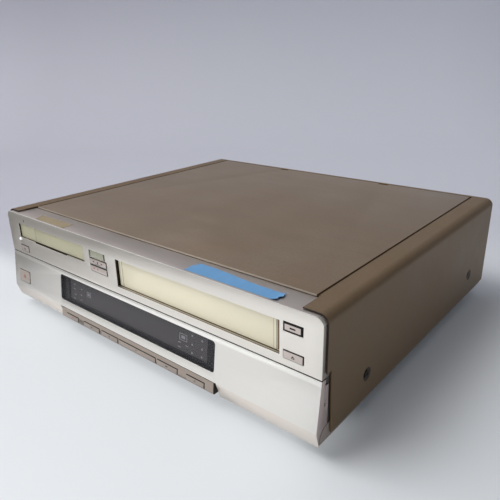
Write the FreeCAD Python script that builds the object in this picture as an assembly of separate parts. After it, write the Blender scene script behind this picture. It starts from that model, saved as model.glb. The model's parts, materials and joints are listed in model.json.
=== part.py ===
import FreeCAD
import Part
import math
import os

from FreeCAD import Vector

# Two-slot cassette deck: a small digital slot on the left and a large slot on the right.
# Millimetres. X to the right, Y to the back, Z up. The origin is on the floor, under the
# middle of the whole object. Heights that end in _drop are measured down from the cover's top.

# Casing
height = 117.0
depth = 358.0
sheet = 1.0
foot_height = 13.0
cover_edge_height = 16.9
cover_corner_radius = 8.0
rear_reach = 6.0
rear_panel_inset = 4.0
fit_gap = 0.5
running_gap = 0.05
hinge_gap = 0.3

# Inlaid plate on top
shoulder_width = 22.1
groove_width = 2.2
plate_depth_step = 1.6
plate_front = 25.8
plate_rear_margin = 4.0
plate_notch_centres = (-75.0, 82.0)
plate_notch_width = 13.0
plate_notch_depth = 4.0

# Upper fascia, laid out from left to right as margin, slot, column, slot, margin
left_margin = 22.3
middle_column = 51.9
right_margin = 36.8
panel_inset = 1.5
panel_top_drop = 1.7
panel_corner_radius = 7.0
panel_depth = 14.0
split_drop = 49.3
split_gap = 1.0
skin = 2.4
strip_inset = 21.7
cover_setback = 3.7
lower_setback = 11.0
cover_step_rise = 4.1

# Large cassette slot
vhs_slot_width = 190.0
vhs_slot_height = 27.9
vhs_slot_drop = 14.1
vhs_door_recess = 3.6
vhs_door_thickness = 2.6
vhs_door_groove_inset = 5.0
vhs_cassette_depth = 104.0

# Small cassette slot
dv_slot_width = 126.0
dv_slot_height = 16.6
dv_slot_drop = 13.1
dv_lip_width = 63.0
dv_lip_drop = 1.2
dv_door_recess = 1.8
dv_door_thickness = 2.2
dv_cassette_depth = 78.0
slot_wall = 1.6
door_groove = 0.5

# Flap
flap_slope = math.radians(7.29)
flap_tip_height = 11.0
flap_tip_setback = 1.3
pivot_setback = 9.5
pivot_z = 15.5
pin_radius = 2.0
nose_radius = 10.5
heel_setback = 25.5
cheek = 2.4
cheek_depth = 9.0
arm_width = 4.0
arm_inset = 5.2
window_width = 227.3
window_bar = 8.7
window_centre = -0.9
window_top_gap = 5.0
window_radius = 3.0
window_thickness = 2.6
window_sink = 0.4

# Button strip under the window
strip_end = 10.2
strip_foot_height = 15.4
strip_gap_side = 2.4
strip_overlap = 0.2
strip_wall = 1.6
key_widths = (20.8, 26.2, 25.9, 53.4, 26.1, 21.2)
key_spaces = (11.1, 4.2, 2.4, 3.0, 11.9)
key_row_centre = -0.7
key_names = ("record_key", "rewind_key", "stop_key", "play_key", "forward_key", "pause_key")
key_height = 4.3
key_brow = 4.8
key_gap = 0.4
key_stroke = 1.0
key_rise = 0.6
key_proud = 0.35
switch_gap = 0.6

# Push buttons and lamps on the fascia: place from its edge or slot, width, top drop, bottom drop.
# The last three sizes have a height and a rise over the edge or crease below instead of drops.
dub_in_size = (10.6, 26.4, 22.3, 27.6)
dub_out_size = (10.6, 26.4, 29.6, 35.2)
dub_lamp_size = (10.6, 24.8, 14.5, 20.4)
picture_size = (3.9, 16.0, 13.9, 20.6)
dv_eject_size = (20.1, 16.0, 6.2, 3.6)
vhs_eject_size = (3.9, 16.6, 5.9, 6.4)
power_size = (11.5, 21.6, 13.0, 8.1)
status_lamp_place = (21.1, 32.1)
status_lamp_radius = 1.6
button_gap = 0.6
button_stroke = 1.2
button_proud = 0.5
button_length = 9.0
flange_overlap = 0.9

# Jog dial and shuttle ring behind the flap: inset from the right edge, drop
dial_place = (61.5, 74.5)
dial_radius = 12.5
dial_setback = 2.6
dial_thickness = 5.0
dial_shaft_length = 16.4
dial_shaft_radius = 3.0
dial_collar_wall = 2.0
finger_radius = 6.0
ring_radius = 18.5
ring_gap = 0.4
ring_thickness = 5.6
ring_web = 1.2

# Carcass
pan_thickness = 1.2
pan_wall_height = 47.0
dimple_depth = 1.5
inner_panel_setback = 12.0
inner_panel_thickness = 2.0
board_thickness = 1.6
board_height = 9.0
front_screw_place = (64.9, 39.2)
rear_screw_place = (55.5, 41.7)
rear_screw_inset = 19.0
foot_radius = 15.0
foot_inset = 50.0
front_foot_setback = 48.0
rear_foot_inset = 43.0

# Display behind the window
display_margin_x = 13.0
display_margin_z = 1.7
display_thickness = 7.0
shelf_thickness = 1.5

# Sockets, with heights above the floor
jack_radius = 4.2
jack_bore = 1.6
jack_heights = (85.0, 69.0, 53.0)
jack_xs = (-60.0, -38.0, 20.0, 42.0)
front_jack_drop = 72.0
front_jack_insets = (23.5, 39.5, 55.5, 73.5)
aerial_radius = 4.7
mini_din_places = ((-82.0, 77.0), (-82.0, 57.0), (64.0, 77.0))
digital_place = (-82.0, 41.0)
aerial_places = ((120.0, 87.0), (120.0, 69.0), (148.0, 87.0), (148.0, 69.0))
inlet_inset = 21.4
inlet_height = 33.0

# Tape machinery
vhs_holder_setback = 27.0
vhs_pin_setbacks = (42.0, 112.0)
vhs_plate_z = 38.0
vhs_holder_rest = 11.0
vhs_drum_radius = 31.0
vhs_drum_tilt = 5.6
vhs_drum_setback = 214.0
vhs_reel_half_pitch = 35.5
vhs_reel_setback = 125.0
vhs_reel_radius = 15.0
vhs_spindle_radius = 2.0
capstan_offset = 52.0
capstan_setback = 205.0
capstan_radius = 1.5
flywheel_radius = 20.0
dv_holder_setback = 17.5
dv_pin_setbacks = (34.0, 76.0)
dv_travel_down = 9.0
dv_plate_below_slot = 21.3
dv_reel_half_pitch = 12.0
dv_reel_setback = 70.0
dv_spindle_radius = 1.2
dv_drum_radius = 10.85
dv_drum_tilt = 8.5
dv_drum_setback = 117.0
fan_radius = 27.0
fan_inset = 73.4
fan_height = 66.0
fan_depth = 16.0

# Derived places
panel_half = (left_margin + dv_slot_width + middle_column + vhs_slot_width + right_margin) / 2
half = panel_half + panel_inset
dv_centre = -panel_half + left_margin + dv_slot_width / 2
vhs_centre = panel_half - right_margin - vhs_slot_width / 2
panel_top = height - panel_top_drop
split_z = height - split_drop
flap_top = split_z - split_gap
flap_foot_height = strip_foot_height + key_rise + key_height + key_brow - strip_overlap
key_top_height = strip_foot_height + key_rise + key_height
key_length = inner_panel_setback - board_thickness - key_stroke - switch_gap - 0.2
strip_width = sum(key_widths) + sum(key_spaces) + 2 * strip_end
window_drop = split_drop + split_gap + window_top_gap
front_reach = (flap_top - strip_foot_height - key_rise) * math.tan(flap_slope) + key_proud
face_y = front_reach - (front_reach + depth + rear_reach) / 2
pivot_y = face_y + pivot_setback
pan_z = foot_height
floor_of_cover = cover_edge_height
recess_z = height - plate_depth_step
shoulder_in = half - shoulder_width
plate_half = shoulder_in - groove_width
strip_half_width = half - strip_inset
rear_y = face_y + depth
rear_panel_y = rear_y - rear_panel_inset
pan_half = half - dimple_depth - 0.1
inner_front = face_y + inner_panel_setback
inner_back = inner_front + inner_panel_thickness
window_height = height - window_drop - window_bar - flap_foot_height - strip_overlap
vhs_slot_floor = height - vhs_slot_drop - vhs_slot_height
dv_slot_floor = height - dv_slot_drop - dv_slot_height
vhs_travel_down = vhs_slot_floor - vhs_plate_z - vhs_holder_rest
dv_plate_z = dv_slot_floor - dv_plate_below_slot
dial_x = panel_half - dial_place[0]
dial_z = height - dial_place[1]
inlet_x = -pan_half + inlet_inset
fan_x = -pan_half + fan_inset


def span(start, size):
    """Left, right, top drop and bottom drop of a button whose place is given from a start."""
    inset, across, top, bottom = size
    return start + inset, start + inset + across, top, bottom


def span_up(start, size, ground):
    """The same for a button whose height and rise over a level are given."""
    inset, across, tall, rise = size
    bottom = height - ground - rise
    return start + inset, start + inset + across, bottom - tall, bottom


def spaced_keys():
    """Left and right edge of each transport key along the strip."""
    start = key_row_centre - (sum(key_widths) + sum(key_spaces)) / 2
    spans = []
    for key_width, space in zip(key_widths, key_spaces + (0.0,)):
        spans.append((start, start + key_width))
        start += key_width + space
    return spans


key_spans = spaced_keys()
middle_start = dv_centre + dv_slot_width / 2
right_start = vhs_centre + vhs_slot_width / 2
dv_eject_span = span_up(-panel_half, dv_eject_size, split_z)
power_span = span_up(-panel_half, power_size, flap_foot_height)
dub_in_span = span(middle_start, dub_in_size)
dub_out_span = span(middle_start, dub_out_size)
dub_lamp_span = span(middle_start, dub_lamp_size)
picture_span = span(right_start, picture_size)
vhs_eject_span = span_up(right_start, vhs_eject_size, split_z)
status_lamp_x = -panel_half + status_lamp_place[0]
status_lamp_z = height - status_lamp_place[1]


def at_drop(drop):
    """Height above the floor of a level given down from the cover's top."""
    return height - drop


def slant_y(z):
    """Y of the flap's sloping outer face at a height."""
    return face_y - (flap_top - z) * math.tan(flap_slope)


def block(x0, x1, y0, y1, z0, z1):
    return Part.makeBox(x1 - x0, y1 - y0, z1 - z0, Vector(x0, y0, z0))


def rod_x(x0, x1, y, z, r):
    return Part.makeCylinder(r, x1 - x0, Vector(x0, y, z), Vector(1, 0, 0))


def rod_y(x, y0, y1, z, r):
    return Part.makeCylinder(r, y1 - y0, Vector(x, y0, z), Vector(0, 1, 0))


def rod_z(x, y, z0, z1, r):
    return Part.makeCylinder(r, z1 - z0, Vector(x, y, z0), Vector(0, 0, 1))


def prism_x(points, x0, x1):
    """Extrude an outline of (y, z) points from x0 to x1."""
    loop = [Vector(x0, y, z) for y, z in points]
    face = Part.Face(Part.makePolygon(loop + loop[:1]))
    return face.extrude(Vector(x1 - x0, 0, 0))


def round_along(shape, direction, radius, keep):
    """Round the straight edges along one axis whose middle passes the keep test."""
    edges = []
    for edge in shape.Edges:
        if not isinstance(edge.Curve, Part.Line):
            continue
        tangent = edge.tangentAt(edge.FirstParameter)
        if abs(abs(tangent.dot(direction)) - 1) < 1e-6 and keep(edge.CenterOfMass):
            edges.append(edge)
    return shape.makeFillet(radius, edges)


def rounded_block_y(x0, x1, y0, y1, z0, z1, radius):
    """A block with its four edges along Y rounded."""
    return round_along(block(x0, x1, y0, y1, z0, z1), Vector(0, 1, 0), radius, lambda p: True)


def join(shapes):
    return shapes[0].fuse(shapes[1:]).removeSplitter()


def mirror_x(shape):
    return shape.mirror(Vector(0, 0, 0), Vector(1, 0, 0))


def both_sides(shape):
    return [shape, mirror_x(shape)]


def group(shapes):
    solids = []
    for shape in shapes:
        solids.extend(shape.Solids)
    return Part.makeCompound(solids)


def tilt(shape, x, y, z, degrees):
    turned = shape.copy()
    turned.rotate(Vector(x, y, z), Vector(1, 0, 0), degrees)
    return turned


# Casing pieces

def cover_bend(offset, front, back):
    """Rounded arch of the cover, offset inwards from its outer skin."""
    outer = half - offset
    top = height - offset
    radius = cover_corner_radius - offset
    arch = block(-outer, outer, front, back, floor_of_cover, top)
    return round_along(arch, Vector(0, 1, 0), radius, lambda p: p.z > top - 1)


def side_screw_centres():
    front, front_height = front_screw_place
    back, back_height = rear_screw_place
    return [(face_y + front, front_height), (rear_y - back, back_height)]


def rear_screw_xs():
    out = half - rear_screw_inset
    return [-out, 0.0, out]


def foot_places():
    out = half - foot_inset
    ys = (face_y + front_foot_setback, rear_y - rear_foot_inset)
    return [(side * out, y) for side in (-1, 1) for y in ys]


def top_cover():
    front = face_y + cover_setback
    shell = cover_bend(0, front, rear_y)
    hollow = cover_bend(sheet, front - 1, rear_y + 1)
    hollow = hollow.fuse(block(-half + sheet, half - sheet, front - 1, rear_y + 1,
                               floor_of_cover - 1, at_drop(50)))
    shell = shell.cut(hollow)
    recess_front = face_y + plate_front + 1.2
    recess_back = rear_y - plate_rear_margin
    tray = block(-shoulder_in - sheet, shoulder_in + sheet, recess_front, recess_back,
                 recess_z - sheet, at_drop(0))
    shell = shell.fuse(tray)
    well = block(-shoulder_in, shoulder_in, recess_front - 5, recess_back - 0.6, recess_z, height + 1)
    notch_front = block(-strip_half_width - fit_gap, strip_half_width + fit_gap,
                        front - 1, recess_front, recess_z - 8, height + 1)
    step = slant_cut()
    shell = shell.cut([well, notch_front] + both_sides(step))
    rear_flange = block(-half + sheet, half - sheet, rear_y - sheet, rear_y, at_drop(9), at_drop(sheet))
    corner = cover_bend(sheet, rear_y - sheet, rear_y)
    shell = shell.fuse(rear_flange.common(corner))
    dimples = []
    holes = []
    for y, z in side_screw_centres():
        boss = Part.makeCone(7.0, 5.2, dimple_depth, Vector(half, y, z), Vector(-1, 0, 0))
        dimples.extend(both_sides(boss))
        cup_depth = dimple_depth - 0.7
        holes.extend(both_sides(Part.makeCone(6.2, 5.0, cup_depth, Vector(half, y, z), Vector(-1, 0, 0))))
        holes.extend(both_sides(rod_x(half - 4, half + 1, y, z, 2.1)))
    shell = shell.fuse(dimples)
    for x in rear_screw_xs():
        holes.append(rod_y(x, rear_y - 3, rear_y + 1, at_drop(5), 1.9))
    return shell.cut(holes).removeSplitter()


def slant_cut():
    """Piece taken off the cover's side in front of the lower fascia."""
    top = split_z + cover_step_rise
    step = face_y + lower_setback - 1.2
    return prism_x([(face_y - 1, top), (step, top), (step + 2.4, floor_of_cover - 1),
                    (face_y - 1, floor_of_cover - 1)], half - 3, half + 1)


def top_plate():
    back = rear_y - plate_rear_margin - 1.2
    sheet_part = block(-plate_half, plate_half, face_y + plate_front, back, recess_z, height)
    notches = [block(x - plate_notch_width / 2, x + plate_notch_width / 2, back - plate_notch_depth,
                     back + 1, recess_z - 1, height + 1) for x in plate_notch_centres]
    return sheet_part.cut(notches)


def base_chassis():
    front = inner_back
    back = rear_panel_y
    pan = block(-pan_half, pan_half, front, back, pan_z, pan_z + pan_thickness)
    wall_front = face_y + heel_setback
    wall = block(pan_half - pan_thickness, pan_half, wall_front, back, pan_z, pan_z + pan_wall_height)
    front_lip = block(-pan_half + 16, pan_half - 16, front, front + pan_thickness, pan_z, pan_z + 6)
    ribs = [block(-pan_half + 20, pan_half - 20, face_y + y, face_y + y + 8, pan_z + pan_thickness,
                  pan_z + pan_thickness + 1.4) for y in (110.0, 200.0)]
    posts = [rod_z(x, y, pan_z, board_z(), 3.0) for x, y in board_posts()]
    posts += [rod_z(x, y, pan_z, vhs_plate_z, 4.0) for x, y in vhs_post_places()]
    posts += [rod_z(x, y, pan_z, dv_plate_z, 4.0) for x, y in dv_post_places()]
    tray = join([pan, front_lip] + both_sides(wall) + ribs + posts)
    holes = [rod_z(x, y, pan_z - 1, pan_z + 3, 2.2) for x, y in foot_places()]
    holes += both_sides(block(arm_inner(), half, front - 1, wall_front, pan_z - 1, pan_z + 3))
    for y, z in side_screw_centres():
        holes.extend(both_sides(rod_x(pan_half - 3, pan_half + 1, y, z, 1.45)))
    return tray.cut(holes)


def feet():
    shapes = []
    for x, y in foot_places():
        body = rod_z(x, y, 0, pan_z, foot_radius)
        body = body.fuse(rod_z(x, y, pan_z, pan_z + 2.6, 2.1))
        rim = [e for e in body.Edges if e.CenterOfMass.z < 0.01 and isinstance(e.Curve, Part.Circle)]
        shapes.append(body.makeChamfer(1.2, rim[:1]))
    return group(shapes)


def rear_openings():
    """Holes in the rear panel, each a little larger than what passes through it."""
    y0 = rear_panel_y - 2
    y1 = rear_panel_y + 4
    holes = [rounded_block_y(x - 7.2, x + 7.2, y0, y1, z - 7.2, z + 7.2, 1.0)
             for x, z in jack_places()]
    holes += [rod_y(x, y0, y1, z, 6.6) for x, z in mini_din_places]
    holes += [rod_y(x, y0, y1, z, aerial_radius + 0.7) for x, z in aerial_places]
    holes.append(block(inlet_x - 12.4, inlet_x + 12.4, y0, y1, inlet_height - 8.4, inlet_height + 8.4))
    x, z = digital_place
    holes.append(block(x - 4.4, x + 4.4, y0, y1, z - 3.4, z + 3.4))
    return holes


def fan_slots():
    """Curved grille of the fan as straight slots of falling length."""
    x, z = fan_x, fan_height
    slots = []
    pitch = 6.0
    rows = int((fan_radius - 5) / pitch)
    for row in range(-rows, rows + 1):
        reach = math.sqrt((fan_radius - 3) ** 2 - (row * pitch) ** 2)
        slots.append(block(x - reach, x + reach, rear_panel_y - 2, rear_panel_y + 4,
                           z + row * pitch - 1.6, z + row * pitch + 1.6))
    return slots


def rear_panel():
    plate = block(-pan_half, pan_half, rear_panel_y, rear_panel_y + sheet, pan_z, at_drop(4))
    flange = block(-pan_half + 20, pan_half - 20, rear_panel_y, rear_y - sheet - 0.1,
                   at_drop(7.6), at_drop(6.6))
    tabs = [block(x - 6, x + 6, rear_panel_y, rear_y - sheet, at_drop(8.6), at_drop(3.0))
            for x in rear_screw_xs()]
    plate = round_along(plate, Vector(0, 1, 0), cover_corner_radius, lambda p: p.z > at_drop(5))
    plate = join([plate, flange] + tabs)
    holes = [rod_y(x, rear_panel_y - 2, rear_y + 1, at_drop(5), 1.45) for x in rear_screw_xs()]
    return plate.cut(rear_openings() + fan_slots() + holes)


# Upper fascia and what sits in it

def span_block(span, y0, y1, grow=0.0):
    x0, x1, top, bottom = span
    return block(x0 - grow, x1 + grow, y0, y1, at_drop(bottom) - grow, at_drop(top) + grow)


def slot_box(centre, slot_width, slot_height, slot_drop, y0, y1, grow=0.0):
    return block(centre - slot_width / 2 - grow, centre + slot_width / 2 + grow, y0, y1,
                 at_drop(slot_drop + slot_height) - grow, at_drop(slot_drop) + grow)


def vhs_pin_place():
    return face_y + vhs_door_recess + vhs_door_thickness / 2, at_drop(vhs_slot_drop) - 1.6


def dv_pin_place():
    return face_y + dv_door_recess + dv_door_thickness / 2, at_drop(dv_slot_drop) - 1.4


def front_bezel():
    back_side = face_y + panel_depth
    body = block(-panel_half, panel_half, face_y, back_side, split_z, panel_top)
    body = round_along(body, Vector(0, 1, 0), panel_corner_radius, lambda p: p.z > panel_top - 1)
    inner = block(-panel_half + skin, panel_half - skin, face_y + skin, back_side + 1,
                  split_z + skin, panel_top - skin)
    body = body.cut(inner)
    hood = block(-strip_half_width, strip_half_width, face_y + skin, face_y + plate_front - 0.3,
                 panel_top - skin, panel_top)
    body = body.fuse(hood)
    collars = []
    tunnels = []
    for centre, slot_width, slot_height, slot_drop, deep in (
            (vhs_centre, vhs_slot_width, vhs_slot_height, vhs_slot_drop, 9.0),
            (dv_centre, dv_slot_width, dv_slot_height, dv_slot_drop, 6.5)):
        collars.append(slot_box(centre, slot_width, slot_height, slot_drop, face_y + 1, face_y + deep,
                                slot_wall))
        tunnels.append(slot_box(centre, slot_width, slot_height, slot_drop, face_y - 1, face_y + deep + 1))
    body = body.fuse(collars)
    lip = block(dv_centre - dv_lip_width / 2, dv_centre + dv_lip_width / 2, face_y - 1, face_y + 2,
                at_drop(dv_slot_drop + dv_slot_height + dv_lip_drop), at_drop(dv_slot_drop + 2))
    button_holes = [span_block(span, face_y - 1, face_y + 8, button_gap) for span in
                    (dv_eject_span, dub_in_span, dub_out_span, dub_lamp_span, picture_span, vhs_eject_span)]
    lamp = rod_y(status_lamp_x, face_y - 1, face_y + 6, status_lamp_z, status_lamp_radius)
    y, z = vhs_pin_place()
    reach = vhs_slot_width / 2
    pin_holes = [rod_x(vhs_centre - reach - 1.3, vhs_centre + reach + 1.3, y, z, 1.0 + running_gap)]
    y, z = dv_pin_place()
    reach = dv_slot_width / 2
    pin_holes.append(rod_x(dv_centre - reach - 1.3, dv_centre + reach + 1.3, y, z, 0.8 + running_gap))
    body = body.cut(tunnels + [lip] + button_holes + [lamp] + pin_holes)
    return body.removeSplitter()


def hinged_door(centre, slot_width, slot_height, slot_drop, recess, thick, pin, pin_r, groove_xs):
    """Inward door with a rolled hinge edge, a pin at each end and fine grooves down its face."""
    gap = hinge_gap
    y, z = pin
    x0 = centre - slot_width / 2 + gap
    x1 = centre + slot_width / 2 - gap
    low = at_drop(slot_drop + slot_height) + gap
    leaf = block(x0, x1, face_y + recess, face_y + recess + thick, low, z)
    roll = rod_x(x0, x1, y, z, thick / 2)
    pins = rod_x(x0 - 1.2, x1 + 1.2, y, z, pin_r)
    ribs = [block(x0 + share * (x1 - x0) - 0.6, x0 + share * (x1 - x0) + 0.6, face_y + recess + thick - 0.1,
                  face_y + recess + thick + 1.2, low + 2, z - 6) for share in (0.2, 0.5, 0.8)]
    grooves = [block(gx - door_groove / 2, gx + door_groove / 2, face_y, face_y + recess + door_groove,
                     low - 1, z + thick) for gx in groove_xs]
    return join([leaf, roll, pins] + ribs).cut(grooves)


def vhs_door():
    out = vhs_slot_width / 2 - vhs_door_groove_inset
    return hinged_door(vhs_centre, vhs_slot_width, vhs_slot_height, vhs_slot_drop, vhs_door_recess,
                       vhs_door_thickness, vhs_pin_place(), 1.0, [vhs_centre - out, vhs_centre + out])


def dv_door():
    return hinged_door(dv_centre, dv_slot_width, dv_slot_height, dv_slot_drop, dv_door_recess,
                       dv_door_thickness, dv_pin_place(), 0.8, [dv_centre - dv_lip_width / 2])


def push_button(span):
    """Rectangular cap on a stem that runs back to its switch."""
    x0, x1, top, bottom = span
    cap = span_block(span, face_y - button_proud, face_y + 5.0)
    middle = at_drop((top + bottom) / 2)
    stem = block((x0 + x1) / 2 - 2.5, (x0 + x1) / 2 + 2.5, face_y + 4.5, face_y + button_length,
                 middle - 1.8, middle + 1.8)
    flange = span_block(span, face_y + skin + 0.2, face_y + skin + 1.4, flange_overlap)
    return join([cap, flange, stem])


def dub_lamp():
    return span_block(dub_lamp_span, face_y + 0.2, face_y + 5.0, button_gap)


def status_lamp():
    x, z = status_lamp_x, status_lamp_z
    dome = Part.makeSphere(status_lamp_radius, Vector(x, face_y, z))
    dome = dome.common(block(x - 3, x + 3, face_y - 1.0, face_y, z - 3, z + 3))
    return join([rod_y(x, face_y, face_y + 6, z, status_lamp_radius), dome])


def fascia_boards():
    """Small switch boards behind the three groups of upper buttons."""
    y0 = face_y + button_length + button_stroke + switch_gap
    y1 = y0 + board_thickness
    pieces = []
    for spans in ((dv_eject_span,), (dub_in_span, dub_out_span), (picture_span, vhs_eject_span)):
        x0 = spans[0][0] - 4.0
        x1 = spans[0][1] + 4.0
        board = block(x0, x1, y0, y1, split_z + skin, at_drop(spans[0][2]) + 4.0)
        caps = []
        for left, right, high, low in spans:
            z = at_drop((high + low) / 2)
            x = (left + right) / 2
            caps.append(block(x - 2.8, x + 2.8, y0 - 0.5, y0, z - 2.8, z + 2.8))
        pieces.append(join([board] + caps))
    return pieces


def switch_boards():
    return group(fascia_boards() + [key_board()])


# Lower fascia

def flap_outline():
    """(y, z) corners of the flap's skin seen from the side."""
    return [(face_y, flap_top), (slant_y(flap_foot_height), flap_foot_height),
            (face_y - flap_tip_setback, flap_tip_height)]


def pivot_drum(radius, x0, x1):
    return rod_x(x0, x1, pivot_y, pivot_z, radius)


def flap():
    top, foot, tip = flap_outline()
    inner_foot = (foot[0] + skin + 0.5, foot[1] + 0.4)
    skin_points = [top, foot, tip, (tip[0] + 3.0, tip[1]), (tip[0] + 3.0, pivot_z + 3.0), inner_foot,
                   (face_y + skin, flap_top)]
    leaf = prism_x(skin_points, -panel_half, panel_half)
    lip = block(-panel_half, panel_half, face_y + 0.2, face_y + 5.3, flap_top - 2.0, flap_top)
    cheek_points = [top, foot, tip, (tip[0] + 3.0, tip[1]), (face_y + cheek_depth, pivot_z),
                    (face_y + cheek_depth, flap_top - 5.1), (face_y + 5.3, flap_top - 5.1),
                    (face_y + 5.3, flap_top)]
    side = prism_x(cheek_points, panel_half - cheek, panel_half)
    arm_low = pivot_z + nose_radius + 2.0
    arm_high = arm_low + 10.0
    arm = prism_x([(pivot_y - 4, pivot_z - 3), (pivot_y + 2, pivot_z + 4.4),
                   (slant_y(arm_high) + 1.2, arm_high), (slant_y(arm_low) + 1.2, arm_low)],
                  arm_inner(), arm_outer())
    hub = pivot_drum(5.0, arm_inner(), arm_outer())
    body = join([leaf, lip] + both_sides(side))
    body = body.cut(pivot_drum(nose_radius + fit_gap, -half, half))
    body = join([body] + both_sides(arm) + both_sides(hub))
    body = body.cut(pivot_drum(pin_radius + running_gap, -half, half))
    body = body.cut(flap_cutouts())
    return body.removeSplitter()


def arm_outer():
    return panel_half - arm_inset


def arm_inner():
    return arm_outer() - arm_width


def window_frame(grow, y0, y1):
    x0 = window_centre - window_width / 2 - grow
    x1 = window_centre + window_width / 2 + grow
    z1 = at_drop(window_drop) + grow
    z0 = z1 - window_height - 2 * grow
    return rounded_block_y(x0, x1, y0, y1, z0, z1, window_radius)


def flap_cutouts():
    """Window, key strip recess, power button hole and the spring tongues in the cheeks."""
    cut_half = strip_width / 2 + strip_gap_side
    edge_z = strip_top() + fit_gap
    bevel = prism_x([(face_y - 20, edge_z), (slant_y(edge_z), edge_z), (slant_y(edge_z) + 3.2, edge_z + 4.2),
                     (face_y + 12, edge_z + 4.2), (face_y + 12, -5), (face_y - 20, -5)], -cut_half, cut_half)
    power = span_block(power_span, face_y - 20, face_y + 8, button_gap)
    slit_y = face_y + 4.2
    slit_top = flap_top - 3.7
    slit_low = slit_top - 17.2
    tongue = [(slit_y, slit_top), (slit_y + 0.7, slit_top), (slit_y + 0.7, slit_low),
              (slit_y + 3.2, slit_low + 0.8), (slit_y + 3.2, slit_low - 1.2), (slit_y, slit_low - 2.2)]
    slit = prism_x(tongue, panel_half - cheek - 1, panel_half + 1)
    return [window_frame(fit_gap / 5, face_y - 20, face_y + 20), bevel, power] + both_sides(slit)


def strip_top():
    return flap_foot_height + strip_overlap


def display_window():
    """Smoked pane set just below the flap's sloping face."""
    frame_shape = window_frame(0.0, face_y - 20, face_y + 20)
    z0 = at_drop(window_drop + window_height) - 1
    z1 = at_drop(window_drop) + 1
    sink = window_sink
    slab = prism_x([(slant_y(z0) + sink, z0), (slant_y(z1) + sink, z1),
                    (slant_y(z1) + sink + window_thickness, z1),
                    (slant_y(z0) + sink + window_thickness, z0)], -half, half)
    return frame_shape.common(slab)


def power_button():
    x0, x1, top, bottom = power_span
    z0 = at_drop(bottom)
    z1 = at_drop(top)
    front = button_proud
    cap = prism_x([(slant_y(z0) - front, z0), (slant_y(z1) - front, z1), (slant_y(z1) + 3.4, z1),
                   (slant_y(z0) + 3.4, z0)], x0, x1)
    middle = (z0 + z1) / 2
    x = (x0 + x1) / 2
    stem = block(x - 3, x + 3, slant_y(middle) + 2, face_y + 6.0, middle - 3, middle + 3)
    return join([cap, stem])


def button_strip():
    """Fixed wedge below the window that carries the six transport keys."""
    top_z = strip_top()
    foot_z = strip_foot_height
    wall = strip_wall
    back = inner_front
    outline = [(slant_y(top_z), top_z), (slant_y(foot_z), foot_z), (slant_y(foot_z) + 1.2, foot_z - 1.6),
               (back, foot_z - 1.6), (back, foot_z - 1.6 + wall),
               (slant_y(foot_z) + wall, foot_z - 1.6 + wall),
               (slant_y(top_z) + wall, top_z - wall), (face_y + 2.0, top_z - wall),
               (face_y + 2.0, top_z + 4.0), (face_y + 0.2, top_z + 4.0), (face_y + 0.2, top_z)]
    shell = prism_x(outline, -strip_width / 2, strip_width / 2)
    end_points = [(slant_y(top_z), top_z), (slant_y(foot_z), foot_z), (slant_y(foot_z) + 1.2, foot_z - 1.6),
                  (back, foot_z - 1.6), (back, top_z)]
    end = prism_x(end_points, strip_width / 2 - 2.0, strip_width / 2)
    shell = join([shell] + both_sides(end))
    holes = []
    for x0, x1 in key_spans:
        holes.append(block(x0 - key_gap, x1 + key_gap, face_y - 12, face_y + 1,
                           foot_z + key_rise - key_gap, key_top_height + key_gap))
    return shell.cut(holes)


def transport_key(span):
    x0, x1 = span
    z0 = strip_foot_height + key_rise
    z1 = key_top_height
    cap = prism_x([(slant_y(z0) - key_proud, z0), (slant_y(z1) - key_proud, z1), (slant_y(z1) + 3.2, z1),
                   (slant_y(z0) + 3.2, z0)], x0, x1)
    middle = (x0 + x1) / 2
    flange_front = strip_wall + hinge_gap
    z2 = z1 + flange_overlap
    flange = prism_x([(slant_y(z0) + flange_front, z0), (slant_y(z2) + flange_front, z2),
                      (slant_y(z1) + 3.8, z2), (slant_y(z1) + 3.8, z0)],
                     x0 - flange_overlap, x1 + flange_overlap)
    stem = block(middle - 2, middle + 2, slant_y(z1) + 2.5, face_y + key_length, z0 + 1, z1 - 1)
    return join([cap, flange, stem])


def end_blocks():
    """Rounded corner blocks that carry the flap's pins."""
    x0 = arm_outer() + 0.3
    nose = pivot_drum(nose_radius, x0, panel_half)
    heel = block(x0, panel_half, pivot_y, face_y + heel_setback, pan_z, pivot_z + nose_radius)
    body = join([nose, heel]).common(block(x0, panel_half, face_y - 5, face_y + 30, pan_z, height))
    inner = block(arm_inner() - 5.0, arm_inner() - 0.3, pivot_y - 4, inner_back, pan_z, pivot_z + 4.5)
    outer_hole = pivot_drum(pin_radius, 0, panel_half - 1.5)
    return group(both_sides(body.cut(outer_hole)) + both_sides(inner.cut(outer_hole)))


def hinge_pins():
    return group(both_sides(pivot_drum(pin_radius, arm_inner() - 5.0, panel_half - 1.5)))


def display_span():
    """Left, right, low and high edge of the display glass behind the window."""
    z1 = at_drop(window_drop) - display_margin_z
    reach = window_width / 2 - display_margin_x
    return window_centre - reach, window_centre + reach, z1 - window_height + 2 * display_margin_z, z1


def shelf_top():
    return display_span()[2] - 1.7


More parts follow.
